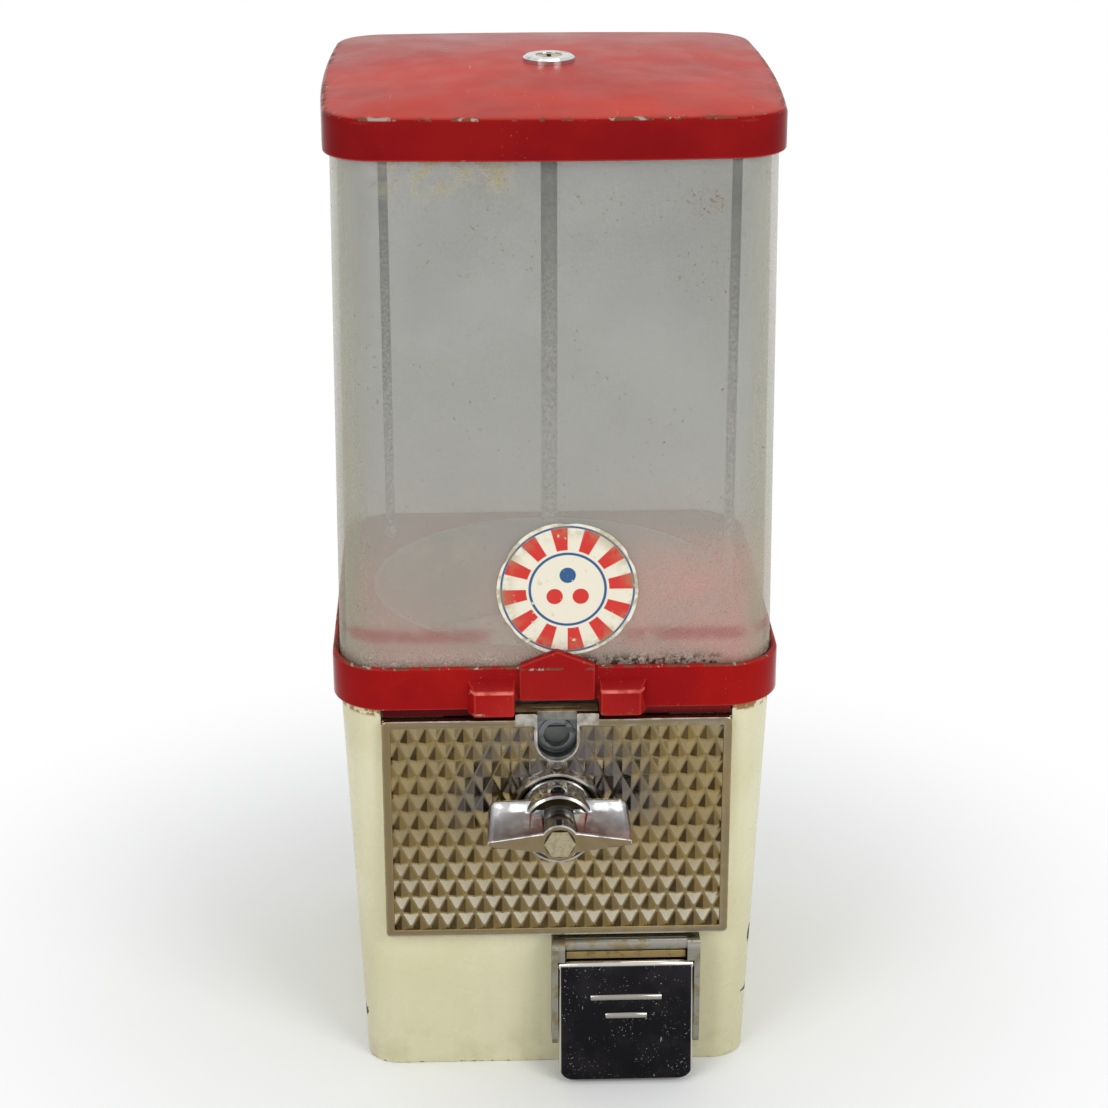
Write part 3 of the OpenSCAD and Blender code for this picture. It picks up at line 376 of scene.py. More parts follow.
# %% Globe
GLOBE_LOW, GLOBE_HIGH = (float(corner[2]) for corner in mm("globe"))
GLOBE_LOW_HALF, GLOBE_TOP_HALF, GLOBE_WALL, GLOBE_CORNER = mm("globe")[1][0], 80.3, 2.6, 20.0
GLOBE_ROUND = 0.5                    # the small chamfer round each rim


def globe_row(t, inset, rise=0.0):
    """Row at share t of the height: half width and corner radius less the inset."""
    half = GLOBE_LOW_HALF + (GLOBE_TOP_HALF - GLOBE_LOW_HALF) * t
    return [GLOBE_LOW + (GLOBE_HIGH - GLOBE_LOW) * t + rise, half - inset, GLOBE_CORNER - inset]


def globe_face(inset, steps=12):
    """One face from bottom to top, whose first and last rows stay clear of the rims."""
    rises = [GLOBE_ROUND, *[0] * (steps - 2), -GLOBE_ROUND]
    return [globe_row(t, inset, rise) for t, rise in zip(np.linspace(0, 1, steps), rises)]


globe_wall = swept("globe_wall", [globe_row(0, GLOBE_ROUND), *globe_face(0), globe_row(1, GLOBE_ROUND),
                                  globe_row(1, GLOBE_WALL - GLOBE_ROUND), *globe_face(GLOBE_WALL)[::-1],
                                  globe_row(0, GLOBE_WALL - GLOBE_ROUND)], arc_points=25)
file_piece(globe_wall, "globe_set", "globe", smooth=50)

# %% [markdown]
# ## The lid
# The lid is a pressed cap: a straight skirt round the globe, a tight edge, and a low crown. Its
# sides bow out a little, as pressed sheet does. The section starts at the lock's hole, runs down
# the crown and the skirt, and comes back up inside.

# %% Lid
LID_LOW, CROWN_Z = (corner[2] for corner in mm("lid"))
LID_HALF, LID_WALL, LID_BOW, CROWN_H, SKIRT_TOP = 82.75, 2.2, 2.2, 4.3, 383.0
LOCK_HOLE_R, LEDGE_Z, LEDGE_W, EDGE_R = 8.02, 372.3, 4, 2.4
LID_CORNER, INNER_CORNER, INNER_BOW, CROWN_CORNER, CIRCLE_WITHIN = 20, 18.0, 0.6, 8, 12


def skirt_row(half, z):
    """The skirt's corner radius shrinks with its half width, so that the wall stays even."""
    return [z, half, LID_CORNER - (LID_HALF - half), LID_BOW]


def crown_row(half, lower=0.0):
    """The crown falls with the square of the distance from the middle, by CROWN_H in all.

    Its corner radius and bow shrink with the half width, and near the hole the loop turns into a circle.
    """
    share = half / LID_HALF
    blend = np.clip((half - LOCK_HOLE_R) / CIRCLE_WITHIN, 0, 1)
    corner = min(half * NEARLY, LID_CORNER * share + CROWN_CORNER * (1 - share))
    return [CROWN_Z - CROWN_H * share ** 2 - lower, half, half * NEARLY * (1 - blend) + corner * blend,
            LID_BOW * share * blend]


lid_rows = [crown_row(LOCK_HOLE_R)]
lid_rows[0][0] = CROWN_Z - 0.3       # a small chamfer round the lock's hole
lid_rows += [crown_row(half) for half in np.linspace(LOCK_HOLE_R + 0.3, LID_HALF - EDGE_R - 0.6, 26)]
crown_edge = lid_rows[-1][0]
lid_rows += [skirt_row(*point) for point in
             arc(LID_HALF - EDGE_R, crown_edge - EDGE_R - 0.1, EDGE_R, 82, 0, 7)]
lid_rows += [skirt_row(LID_HALF, z) for z in np.linspace(crown_edge - 4.5, LID_LOW + 1.5, 5)]
lid_rows += [skirt_row(*point) for point in arc(LID_HALF - 0.8, LID_LOW + 0.8, 0.8, 0, -90, 4)]
inner = LID_HALF - LID_WALL
lid_rows += [[z, half, INNER_CORNER, INNER_BOW] for half, z in (
    (inner, LID_LOW), (inner, LEDGE_Z), (inner - LEDGE_W, LEDGE_Z), (inner - LEDGE_W, SKIRT_TOP - 2.4))]
lid_rows += [crown_row(half, LID_WALL) for half in np.linspace(inner - 12, LOCK_HOLE_R, 8)]
lid_cap = swept("lid_cap", lid_rows, arc_points=21)
file_piece(lid_cap, "lid_set", "lid")

# %% [markdown]
# ## The coin plate
# The coin plate is a die casting, nickel plated: a plain border round a field of staggered
# diamonds, a U-shaped coin window, a flange at the top and a round boss behind the handle. The
# diamonds could be hundreds of small pyramids. They are one height field instead: a formula gives
# the height at each point, and rounding the creases by a fraction of a millimetre in the formula
# gives them the soft look of plated metal.

# %% Helpers for front-facing shapes
def prism(name, outline, back, front):
    """Extrudes an outline in the X-Z plane from depth back to depth front."""
    x, z = np.asarray(outline, dtype=float).T
    return stacked(name, [np.stack([x, np.full(len(x), -float(d)), z], axis=1) for d in (back, front)])


def turned(name, profile, z, steps=96):
    """Revolves (radius, depth) rows about an axis along Y through (0, z)."""
    r, d = np.array(profile, dtype=float).T
    a = np.linspace(0, 2 * np.pi, steps, endpoint=False)
    return stacked(name, np.stack([r[:, None] * np.cos(a), np.broadcast_to(-d[:, None], (len(r), steps)),
                                   z + r[:, None] * np.sin(a)], axis=-1), ends_open=True)


def card(x0, x1, z0, z1, radius, steps=8):
    """Outline of a rectangle with round corners, counter-clockwise."""
    corners = [(x1 - radius, z1 - radius, 0), (x0 + radius, z1 - radius, 90),
               (x0 + radius, z0 + radius, 180), (x1 - radius, z0 + radius, 270)]
    return np.concatenate([arc(x, z, radius, start, start + 90, steps) for x, z, start in corners])


def u_outline(radius, low, high):
    """A half circle about (0, low) below two straight sides that end at high."""
    return np.concatenate([arc(0, low, radius, 180, 360, 24), [(radius, high), (-radius, high)]])


def circle(radius, z, steps):
    """A full circle about (0, z)."""
    return arc(0, z, radius, 0, 360, steps)[:-1]


# %% Diamond field
AXIS_Z, PLATE_D, FIELD_D, BORDER, DIAMOND, ROWS = 116.1, 84.5, 83.1, 3.3, 7.1, 12
PEAK, EDGE_LAP, CREASE = 1.3, 0.4, 0.035
WINDOW_R, WINDOW_RIM, WINDOW_Z, STRIP_HALF, BLOCK_Z = 7.5, 0.85, 144.9, 15.9, 156.8


def soft(value):
    """Absolute value with a round bottom: sqrt(v ** 2 + crease ** 2) - crease."""
    return np.sqrt(value ** 2 + CREASE ** 2) - CREASE


def diamond_height(x, z):
    """Height of the staggered diamonds at (x, z).

    With u and v the distances from the nearest peak in half widths and half heights, the height is
    |1 - u - v|: it falls from the peak to the valley at u + v = 1 and climbs to the next peak.
    """
    low = PLATE_LOW + BORDER - EDGE_LAP
    row = (PLATE_HIGH - BORDER + EDGE_LAP - low) / ROWS
    s, t = x / (DIAMOND / 2), (z - low) / row
    s = s - np.where(np.floor(t) % 2 == 0, 1, 0)
    u, v = soft(s - 2 * np.round(s / 2)), soft(t - np.floor(t))
    return PEAK * soft(1 - u - np.abs(v))


def field_grid(per_half=7, per_row=9, tuck=0.3):
    """The field's front, tucked into the border all round, and a flat back behind it."""
    half, low, high = PLATE_HALF - BORDER + tuck, PLATE_LOW + BORDER - tuck, PLATE_HIGH - BORDER + tuck
    nx, nz = round(2 * half / (DIAMOND / 2) * per_half), round(ROWS * per_row)
    x, z = np.meshgrid(np.linspace(-half, half, nx + 1), np.linspace(low, high, nz + 1))
    front = np.stack([x, -(FIELD_D + diamond_height(x, z)), z], axis=-1)
    back = np.stack([x, np.full_like(x, -(FIELD_D - 0.8)), z], axis=-1)
    return front, back


def closed_sheet(name, front, back):
    """Joins a front and a back grid of the same size with walls round the rim."""
    rows, columns = front.shape[:2]
    count = rows * columns
    index = np.arange(count).reshape(rows, columns)
    ring = np.concatenate([index[0], index[1:, -1], index[-1, -2::-1], index[-2:0:-1, 0]])
    after = np.roll(ring, -1)
    walls = np.stack([ring, after, after + count, ring + count], axis=1)
    faces = np.concatenate([grid_faces(rows, columns)[:, ::-1], grid_faces(rows, columns) + count, walls])
    return shape(name, np.concatenate([front.reshape(-1, 3), back.reshape(-1, 3)]), faces)


# %% [markdown]
# The plate's other parts are simple: a card with a sunk field, a strip and a U-shaped rim round the
# coin window, and a turned boss. They are united first, and the openings are cut last.

# %% Coin plate
BOSS_D, BOSS_R, BOSS_FOOT_R, HUB_R, BUSH_R = 86.1, 16.2, 17.4, 14.4, 6.0
GAP_D = PLATE_D - 0.6                # the bottom of the ring-shaped gap round the hub
THROUGH = (78.0, 95.0)               # depths behind and in front of the whole plate
plate = prism("coin_face", card(-PLATE_HALF, PLATE_HALF, PLATE_LOW, PLATE_HIGH, 2), PAD_D, PLATE_D)
combine(plate, slab("field", about(PLATE_HALF - BORDER), (AHEAD, -FIELD_D + 0.4),
                    (PLATE_LOW + BORDER, PLATE_HIGH - BORDER)))
bevelled(plate, 0.45)
flange = bevelled(slab("flange", about(PLATE_HALF - 0.2), (-PAD_D - 1, -RECESS_D),
                       (RECESS_Z, PLATE_HIGH - 0.1)), 0.3)
strip = bevelled(slab("strip", about(STRIP_HALF), (-PLATE_D - 0.05, -PAD_D - 0.02),
                      (PLATE_HIGH - 2.3, BLOCK_Z)), 0.4)
rim = bevelled(prism("rim", u_outline(WINDOW_R + WINDOW_RIM, WINDOW_Z, BLOCK_Z - 0.1),
                     PAD_D + 1, PLATE_D + 0.4), 0.25)
boss = turned("boss", [(BUSH_R + 0.1, PAD_D), (BOSS_FOOT_R, PAD_D), (BOSS_FOOT_R, FIELD_D),
                       (BOSS_FOOT_R - 0.5, FIELD_D + 1.4), (BOSS_R, BOSS_D - 0.2), (BOSS_R - 0.6, BOSS_D),
                       (HUB_R + 0.8, BOSS_D), (HUB_R + 0.5, BOSS_D - 0.3), (HUB_R + 0.5, GAP_D),
                       (BUSH_R + 0.1, GAP_D)], AXIS_Z)
combine(plate, closed_sheet("diamonds", *field_grid()), operation="UNION")
combine(plate, prism("well", circle(BOSS_R, AXIS_Z, 96), PAD_D - 1, THROUGH[1]))
combine(plate, boss, rim, strip, flange, operation="UNION")
combine(plate, prism("opening", u_outline(WINDOW_R, WINDOW_Z, BLOCK_Z + 1), *THROUGH),
        slab("notch", about(STRIP_HALF + 2.6), (-PAD_D, -70), (RECESS_Z - 1, BLOCK_Z + 1)))
file_piece(plate, "housing", "coin_plate", smooth=40)

# %% [markdown]
# ## The handle
# The handle is a chrome-plated zinc casting: a round hub that fills the boss, and in front of it a
# bow-shaped bar whose two wings thin towards their ends. The hub is turned. The bar is a stack of
# outlines that shrink from the wide back to the narrow front face.

# %% Handle
HUB_BACK, HUB_FRONT, HANDLE_FRONT, BORE_R, SOCKET_R = 84.2, 100.5, 112.0, 4.02, 5.2
hub = turned("hub", [(BORE_R, HUB_BACK), (HUB_R - 0.3, HUB_BACK), (HUB_R, HUB_BACK + 0.3),
                     (HUB_R, HUB_FRONT - 1.6), (HUB_R - 0.5, HUB_FRONT - 0.5), (HUB_R - 1.4, HUB_FRONT),
                     (12, HUB_FRONT - 0.1), (11.4, HUB_FRONT - 1), (9.6, HUB_FRONT - 1.1), (9, HUB_FRONT),
                     (8.4, HUB_FRONT + 2.5), (7.8, HANDLE_FRONT - 5), (7.4, HANDLE_FRONT - 0.5),
                     (6.9, HANDLE_FRONT), (SOCKET_R, HANDLE_FRONT), (SOCKET_R, HUB_FRONT),
                     (BORE_R, HUB_FRONT)], AXIS_Z)


def wing_outline(half, tip, middle, flare=7.0, steps=10):
    """Bow outline: the edge falls from the middle to the tip along a straight line, with round ends.

    Half is the bar's half length, and tip and middle are its half heights at the end and the middle.
    """
    straight = half - tip * 0.25
    t = np.linspace(0, 1, steps)
    upper = np.stack([flare + (straight - flare) * t, tip + (middle - tip) * (1 - t)], 1)
    a = np.radians(np.linspace(75, -75, 7))
    end = np.stack([straight + tip * 0.25 * np.cos(a), tip * np.sin(a)], 1)
    right = np.concatenate([upper, end, (upper * [1, -1])[::-1]])
    return np.concatenate([right, -right])


# Each level is (distance behind the front, half length, half height at the tip, at the middle).
levels = [(17.6, 25.8, 9.4, 9.8), (16.6, 26.9, 10.0, 10.4), (15.6, 27.0, 9.8, 10.2), (14.9, 27.0, 9.2, 9.6),
          (11.5, 27.0, 7.1, 7.0), (1.2, 27.0, 1.2, 4.2), (0.5, 27.0, 1.0, 3.9), (0.0, 26.7, 0.8, 3.6)]
wings = stacked("wings", [[(x, back - HANDLE_FRONT, AXIS_Z + z) for x, z in wing_outline(*outline)]
                          for back, *outline in levels])
combine(wings, prism("socket", circle(SOCKET_R + 0.05, AXIS_Z, 48), PAD_D, HANDLE_FRONT + 8))
turn_handle = combine(hub, bevelled(wings, 0.5, angle=40), operation="UNION")
turn_handle.name = "turn_handle"
file_piece(turn_handle, "handle_set", "handle", smooth=28)

# %% [markdown]
# ## The flap
# The flap is pressed from sheet: its edges turn back like those of a tray, and its top rolls round
# the hinge pin. The tray is one outline repeated with growing insets, so the turned edge is a
# quarter circle all the way round. Two plain ribs give the finger something to find.

# %% Flap
CHUTE_X, FLAP_HALF, FLAP_LOW, FLAP_LOW_D, PIN_D, PIN_Z, FLAP_T = 26.8, 26.3, 2.0, 94.0, 86.4, 49.6, 1.6
BARREL_R, FLAP_CORNER, FLANGE, FLAP_ROUND, BORE = 2.1, 5.5, 4.6, 1.1, 1.16
RIBS = ((14.0, 37.0), (8.2, 29.4))   # half length and height of each


def flap_front(z):
    """Depth of the front face: a straight line from the lower edge to the front of the barrel."""
    return FLAP_LOW_D + (PIN_D + BARREL_R - FLAP_LOW_D) * (z - FLAP_LOW) / (PIN_Z - FLAP_LOW)


def tray_row(inset, back, top=PIN_Z):
    """The flap's outline, inset from its edge and set back from the front face, cut off at the top."""
    x, z = card(CHUTE_X - FLAP_HALF + inset, CHUTE_X + FLAP_HALF - inset, FLAP_LOW + inset,
                PIN_Z + 6, max(FLAP_CORNER - inset, 0.8), steps=10).T
    z = np.minimum(z, top - 0.3 * inset)
    return np.stack([x, -(flap_front(z) - back), z], axis=1)


quarter = np.radians(np.linspace(90, 0, 6))
edge = FLAP_ROUND * np.stack([1 - np.sin(quarter), 1 - np.cos(quarter)], 1)
inside = [tray_row(FLAP_T + 0.5, FLAP_T, PIN_Z - 3), tray_row(FLAP_T, FLAP_T + 0.5, PIN_Z - 2.5),
          tray_row(FLAP_T, FLANGE, PIN_Z - 2.5)]
outside = [tray_row(*step) for step in [(0.0, FLANGE), *edge, (1.6, 0.0), (3.0, 0.0)]]
flap_tray = stacked("flap_tray", inside + outside)


def bar(name, half, y, z, radius, steps=32, rounded=0.4):
    """A round bar along X, centred on the chute, with rounded ends."""
    a = np.linspace(0, 2 * np.pi, steps, endpoint=False)
    ends = [half, half - rounded * 0.3, half - rounded]
    x = np.array([CHUTE_X - e for e in ends] + [CHUTE_X + e for e in ends[::-1]])
    r = np.array([radius - rounded, radius - rounded * 0.3, radius])
    r = np.concatenate([r, r[::-1]])
    return stacked(name, np.stack([np.broadcast_to(x[:, None], (6, steps)), y + np.outer(r, np.cos(a)),
                                   z + np.outer(r, np.sin(a))], axis=-1))


barrel = bar("barrel", FLAP_HALF, -PIN_D, PIN_Z, BARREL_R)
ribs = [bar("rib", half, 0.7 - flap_front(z), z, 1.6, 24) for half, z in RIBS]
combine(flap_tray, barrel, *ribs, operation="UNION")
combine(flap_tray, bar("bore", 40, -PIN_D, PIN_Z, BORE))
file_piece(flap_tray, "flap_door", "flap", smooth=40)

# %% Strip between the hood's cheeks
STRIP_LENGTH, STRIP_Y, STRIP_Z = 46.8, (-86.4, -84.6), (52.4, 55.6)
hood_strip = bevelled(slab("hood_strip", about(STRIP_LENGTH / 2, CHUTE_X), STRIP_Y, STRIP_Z), 0.3)
file_piece(hood_strip, "housing")

# %% [markdown]
# ## The label
# A round paper label sits on the front of the globe. Its print is worked out from the distance to
# its middle and the angle round it, so it needs no picture. Its edge is worn: a slow wave and a
# quick one move the outline inwards by up to a millimetre.

# %% Label
LABEL_X, LABEL_R, LABEL_T, LABEL_Z = 4.0, 26.5, 0.3, 206.3
lean = math.atan((GLOBE_LOW_HALF - GLOBE_TOP_HALF) / (GLOBE_HIGH - GLOBE_LOW))
label_face_y = -(GLOBE_LOW_HALF - math.tan(lean) * (LABEL_Z - GLOBE_LOW))


def label_rows(steps=240):
    """Rings from the middle out, with a worn rim, on a front and a back face."""
    a = np.linspace(0, 2 * np.pi, steps, endpoint=False)
    worn = -0.35 * (1 + np.sin(5 * a + 0.6)) * 0.5 - 0.25 * (1 + np.sin(17 * a)) * np.sin(3 * a) ** 8
    share = np.array([0.02, 0.3, 0.6, 0.9, 1.0])
    out = share[:, None] * (LABEL_R + worn)
    x, z = LABEL_X + out * np.cos(a), out * np.sin(a)
    front, back = (np.stack([x, label_face_y + z * math.sin(lean) - lift, LABEL_Z + z * math.cos(lean)],
                            axis=-1) for lift in (LABEL_T, 0.03))
    return np.concatenate([front, back[::-1]])


round_label = stacked("round_label", label_rows())
file_piece(round_label, "globe_set", "label", smooth=60)

# %% [markdown]
# ## Finishes
# Each finish starts from what it is on the real machine: stove enamel, plated die casting, rubbed
# chrome, clouded plastic, printed paper, plain steel. Wear is never even: it follows edges, and it
# comes in spots of many sizes. Noise in object space gives the spots, and the "wear" attribute,
# which is 1 on sharp outer edges, tells where they gather. Real dust, pinholes and scratches are
# finer than a pixel here, so they are drawn about a millimetre wide and show.
#
# Hex colours are stored the way a screen shows them. A renderer adds light, so it needs them
# linear: each channel is raised to about the power 2.2. A material is a small graph of nodes, and
# one function that adds a node with its settings and links keeps every recipe short. Numbers that
# flow between nodes are wrapped, so that a recipe writes its sums as plain arithmetic.

# %% Colours, nodes and sums
def linear(hex_colour):
    """sRGB hex to linear RGBA: below 0.04045 divide by 12.92, above it ((c + 0.055) / 1.055) ** 2.4."""
    c = np.array([int(hex_colour[i:i + 2], 16) for i in (1, 3, 5)]) / 255
    c = np.where(c <= 0.04045, c / 12.92, ((c + 0.055) / 1.055) ** 2.4)
    return (*c.tolist(), 1.0)


def add(tree, kind, inputs=None, **settings):
    """Adds a node, sets its properties, and sets or links its inputs; a hex text sets a colour."""
    node = tree.nodes.new(kind)
    for name, value in settings.items():
        setattr(node, name, value)
    for name, value in (inputs or {}).items():
        if isinstance(value, Value):
            value = value.socket
        if isinstance(value, bpy.types.NodeSocket):
            tree.links.new(value, node.inputs[name])
        else:
            node.inputs[name].default_value = linear(value) if isinstance(value, str) else value
    return node


class Value:
    """A number that flows between nodes: each sum written with it adds one Math node."""

    def __init__(self, socket):
        self.socket, self.tree = socket, socket.id_data

    def maths(self, kind, other=0.0, first=None):
        """The Math node of this kind on this number and the other, or on first and this number."""
        inputs = {0: self, 1: other} if first is None else {0: first, 1: self}
        return Value(add(self.tree, "ShaderNodeMath", inputs, operation=kind).outputs[0])

    def __rsub__(self, other):
        """A plain number less this one."""
        return self.maths("SUBTRACT", first=other)

    __add__, __sub__ = partialmethod(maths, "ADD"), partialmethod(maths, "SUBTRACT")
    __mul__, __truediv__ = partialmethod(maths, "MULTIPLY"), partialmethod(maths, "DIVIDE")
    __abs__ = partialmethod(maths, "ABSOLUTE")


def largest(first, *values):
    """The largest of the numbers at each point."""
    for value in values:
        first = first.maths("MAXIMUM", value)
    return first


def length_of(a, b):
    """The length of the slanted side over a and b: sqrt(a ** 2 + b ** 2)."""
    return (a * a + b * b).maths("SQRT")


print("red enamel is", [round(v, 3) for v in linear("#A5141A")])

# %% [markdown]
# Most masks are smooth steps: of a noise, which makes patches, or of a place on the machine, which
# makes strips. Colours are then laid over each other like coats of paint, each through its mask.

# %% Steps, mixes and coats
def ramp(value, low, high, first=0.0, last=1.0):
    """Smooth step: first below low, last above high, and a smooth blend between them."""
    return Value(add(value.tree, "ShaderNodeMapRange", {"Value": value, "From Min": low, "From Max": high,
                     "To Min": first, "To Max": last}, interpolation_type="SMOOTHSTEP").outputs[0])


def ramp_mm(value, low, high, first=0.0, last=1.0):
    """The same step for a place, with low and high in millimetres."""
    return ramp(value, low * MM, high * MM, first, last)


def until(value, low, high):
    """1 before low and 0 after high, in millimetres."""
    return ramp_mm(value, low, high, 1.0, 0.0)


def band(value, low, high, soft_mm):
    """1 while value lies between low and high, in millimetres, fading over soft_mm on each side."""
    return ramp_mm(value, low - soft_mm, low + soft_mm) * until(value, high - soft_mm, high + soft_mm)


def mixed(factor, a, b):
    """Number a where factor is 0 and number b where it is 1: sockets 2 and 3 of a Mix node."""
    return Value(add(factor.tree, "ShaderNodeMix", {0: factor, 2: a, 3: b}, data_type="FLOAT").outputs[0])


def coats(base, *layers):
    """Lays colours over the base: each layer (mask, colour) shows where its mask is 1.

    Sockets 6 and 7 of a Mix node take its colours.
    """
    for mask, colour in layers:
        base = add(mask.tree, "ShaderNodeMix", {0: mask, 6: base, 7: colour}, data_type="RGBA").outputs[2]
    return base


# %% A material in the making
class Finish:
    """A material in the making: its node tree and the object's own coordinates in metres."""

    def __init__(self, name):
        self.material = bpy.data.materials.new(name)
        self.material.use_nodes = True
        self.tree = self.material.node_tree
        self.tree.nodes.clear()
        self.at = add(self.tree, "ShaderNodeTexCoord").outputs["Object"]

    def axes(self):
        """The coordinates x, y and z of the point that is being painted."""
        return [Value(axis) for axis in add(self.tree, "ShaderNodeSeparateXYZ", {0: self.at}).outputs]

    def noise(self, grain_mm, detail=3.0, roughness=0.55, stretch=None):
        """Noise whose lumps are about grain_mm across: its scale is 1 / lump size in metres."""
        at = self.at
        if stretch is not None:
            at = add(self.tree, "ShaderNodeMapping", {"Vector": at, "Scale": stretch}).outputs[0]
        return Value(add(self.tree, "ShaderNodeTexNoise", {"Vector": at, "Scale": 1 / (grain_mm * MM),
                         "Detail": detail, "Roughness": roughness}).outputs["Fac"])

    def patches(self, grain_mm, low, high, first=0.0, last=1.0, **settings):
        """Noise through a smooth step: patches with a soft or a hard rim."""
        return ramp(self.noise(grain_mm, **settings), low, high, first, last)

    def specks(self, size_mm, share, softness=0.02):
        """Spots of about size_mm that cover roughly the given share: noise above a high threshold."""
        level = 0.5 + 0.28 * (1 - share) ** 2
        return self.patches(size_mm, level, level + softness, detail=4.0, roughness=0.62)

    def facing(self, *towards):
        """How far the surface faces a direction of the object: the dot product with its normal."""
        normal = add(self.tree, "ShaderNodeNewGeometry").outputs["Normal"]
        own = add(self.tree, "ShaderNodeVectorTransform", {0: normal}, vector_type="NORMAL",
                  convert_from="WORLD", convert_to="OBJECT").outputs[0]
        return Value(add(self.tree, "ShaderNodeVectorMath", {0: own, 1: towards},
                         operation="DOT_PRODUCT").outputs["Value"])

    def distance_from(self, *place_mm):
        """Distance in metres from a fixed point given in millimetres."""
        return Value(add(self.tree, "ShaderNodeVectorMath", {0: self.at, 1: [c * MM for c in place_mm]},
                         operation="DISTANCE").outputs["Value"])

    def wear(self, low, high):
        """A step of the piece's own edge attribute: 1 on a sharp outer edge, 0 on a flat face."""
        edge = add(self.tree, "ShaderNodeAttribute", attribute_name="wear").outputs["Fac"]
        return ramp(Value(edge), low, high)

    def made_of(self, colour, roughness, relief=None, **inputs):
        """Ends the recipe with one Principled BSDF; relief is (height, depth in mm, strength) of a bump."""
        inputs = {name.replace("_", " "): value for name, value in inputs.items()}
        if relief is not None:
            bumps = {"Height": relief[0], "Distance": relief[1] * MM, "Strength": relief[2]}
            inputs["Normal"] = add(self.tree, "ShaderNodeBump", bumps).outputs[0]
        shader = add(self.tree, "ShaderNodeBsdfPrincipled",
                     {"Base Color": colour, "Roughness": roughness, **inputs})
        add(self.tree, "ShaderNodeOutputMaterial", {"Surface": shader.outputs[0]})
        return self.material


def dress(made, paint):
    """The piece shows this one material."""
    made.data.materials.clear()
    made.data.materials.append(paint)
    print(made.name, "wears", paint.name)


LEFT, FORWARD, UP, DOWN = (-1, 0, 0), (0, -1, 0), (0, 0, 1), (0, 0, -1)

# %% [markdown]
# ### Cream stove enamel
# The body is sprayed with a thick cream enamel and baked. It has yellowed unevenly, it keeps a
# faint orange-peel texture, and where it was knocked the dark casting shows.

# %% Cream enamel
# Each knock is (x, z, half width, half height) in millimetres, on the front of the body.
KNOCKS = ((77.6, 52.0, 1.6, 4.5), (76.2, 27.5, 2.2, 0.9), (-75.9, 20.0, 1.0, 2.5))
RIM_RUST = (155.5, 164)              # heights between which the enamel has rusted through


def cream_enamel():
    """Glossy coat, IOR 1.5, yellowed in clouds 60 mm across, chipped to the casting."""
    paint = Finish("cream_stove_enamel")
    x, y, z = paint.axes()
    streaks = paint.patches(5, 0.35, 0.7, stretch=(1.0, 1.0, 0.07))
    low_dirt = until(z, 0, 30) * paint.patches(9, 0.45, 0.7, detail=5.0)
    knocked = []
    for middle_x, middle_z, wide, high in KNOCKS:
        off_x, off_z = (x - middle_x * MM) / (wide * MM), (z - middle_z * MM) / (high * MM)
        ragged = off_x * off_x + off_z * off_z + paint.patches(1.5, 0.3, 0.7, -0.5, 0.5)
        knocked.append(ramp(ragged, 0.8, 1.0, 1.0, 0.0) * until(y, -66, -63))
    chips = largest(paint.wear(0.35, 0.6) * paint.specks(2.5, 0.45), paint.specks(1.7, 0.0), *knocked)
    rust_rim = band(z, *RIM_RUST, 0.8) * paint.patches(3.0, 0.42, 0.5, detail=5.0)
    colour = coats("#D8D3B3", (paint.patches(60, 0.35, 0.65, detail=2.0), "#CEC8A2"),
                   (streaks * 0.3, "#C9C29E"), (ramp_mm(z, 20, 90, 0.5, 0.0), "#BFBA98"),
                   (low_dirt * 0.35, "#AA9E78"), (paint.specks(5.0, 0.1) * 0.25, "#BBAF86"),
                   (rust_rim, "#8E6A3A"), (chips, "#3B352E"))
    rough = mixed(chips, paint.patches(12, 0.3, 0.7, 0.24, 0.34), 0.7)
    peel = paint.noise(1.3, detail=1.0) * 0.25 - chips
    return paint.made_of(colour, rough, (peel, 0.12, 0.5), IOR=1.5, Specular_IOR_Level=0.35)


dress(body_casting, cream_enamel())

# %% [markdown]
# ### Red stove enamel
# The lid and the collar are bright red. Handling has worn the edges through to a brown primer and
# bare metal, the top has faded to a paler red, and fine scratches cross it. Light is painted in as
# well: a lighter red on the edges and on the tabs' top edges as highlights, and a greyer top towards
# the back of the lid as a reflection.

# %% Red enamel
SHADE_Z, SHADE_Y = (157.8, 158.8), (-81.6, -81.2)    # the aprons hang in the shade of the skirt
BADGE_SPECKS_Z, BADGE_SPECKS_X = (168, 176.5), (-30, -12)
# Heights and widths of the painted highlight along the tabs' top front edges.
TAB_HIGHLIGHT_Z, TAB_HIGHLIGHT_X = (167.2, 168.3), (TAB_GAP + 0.4, 34)


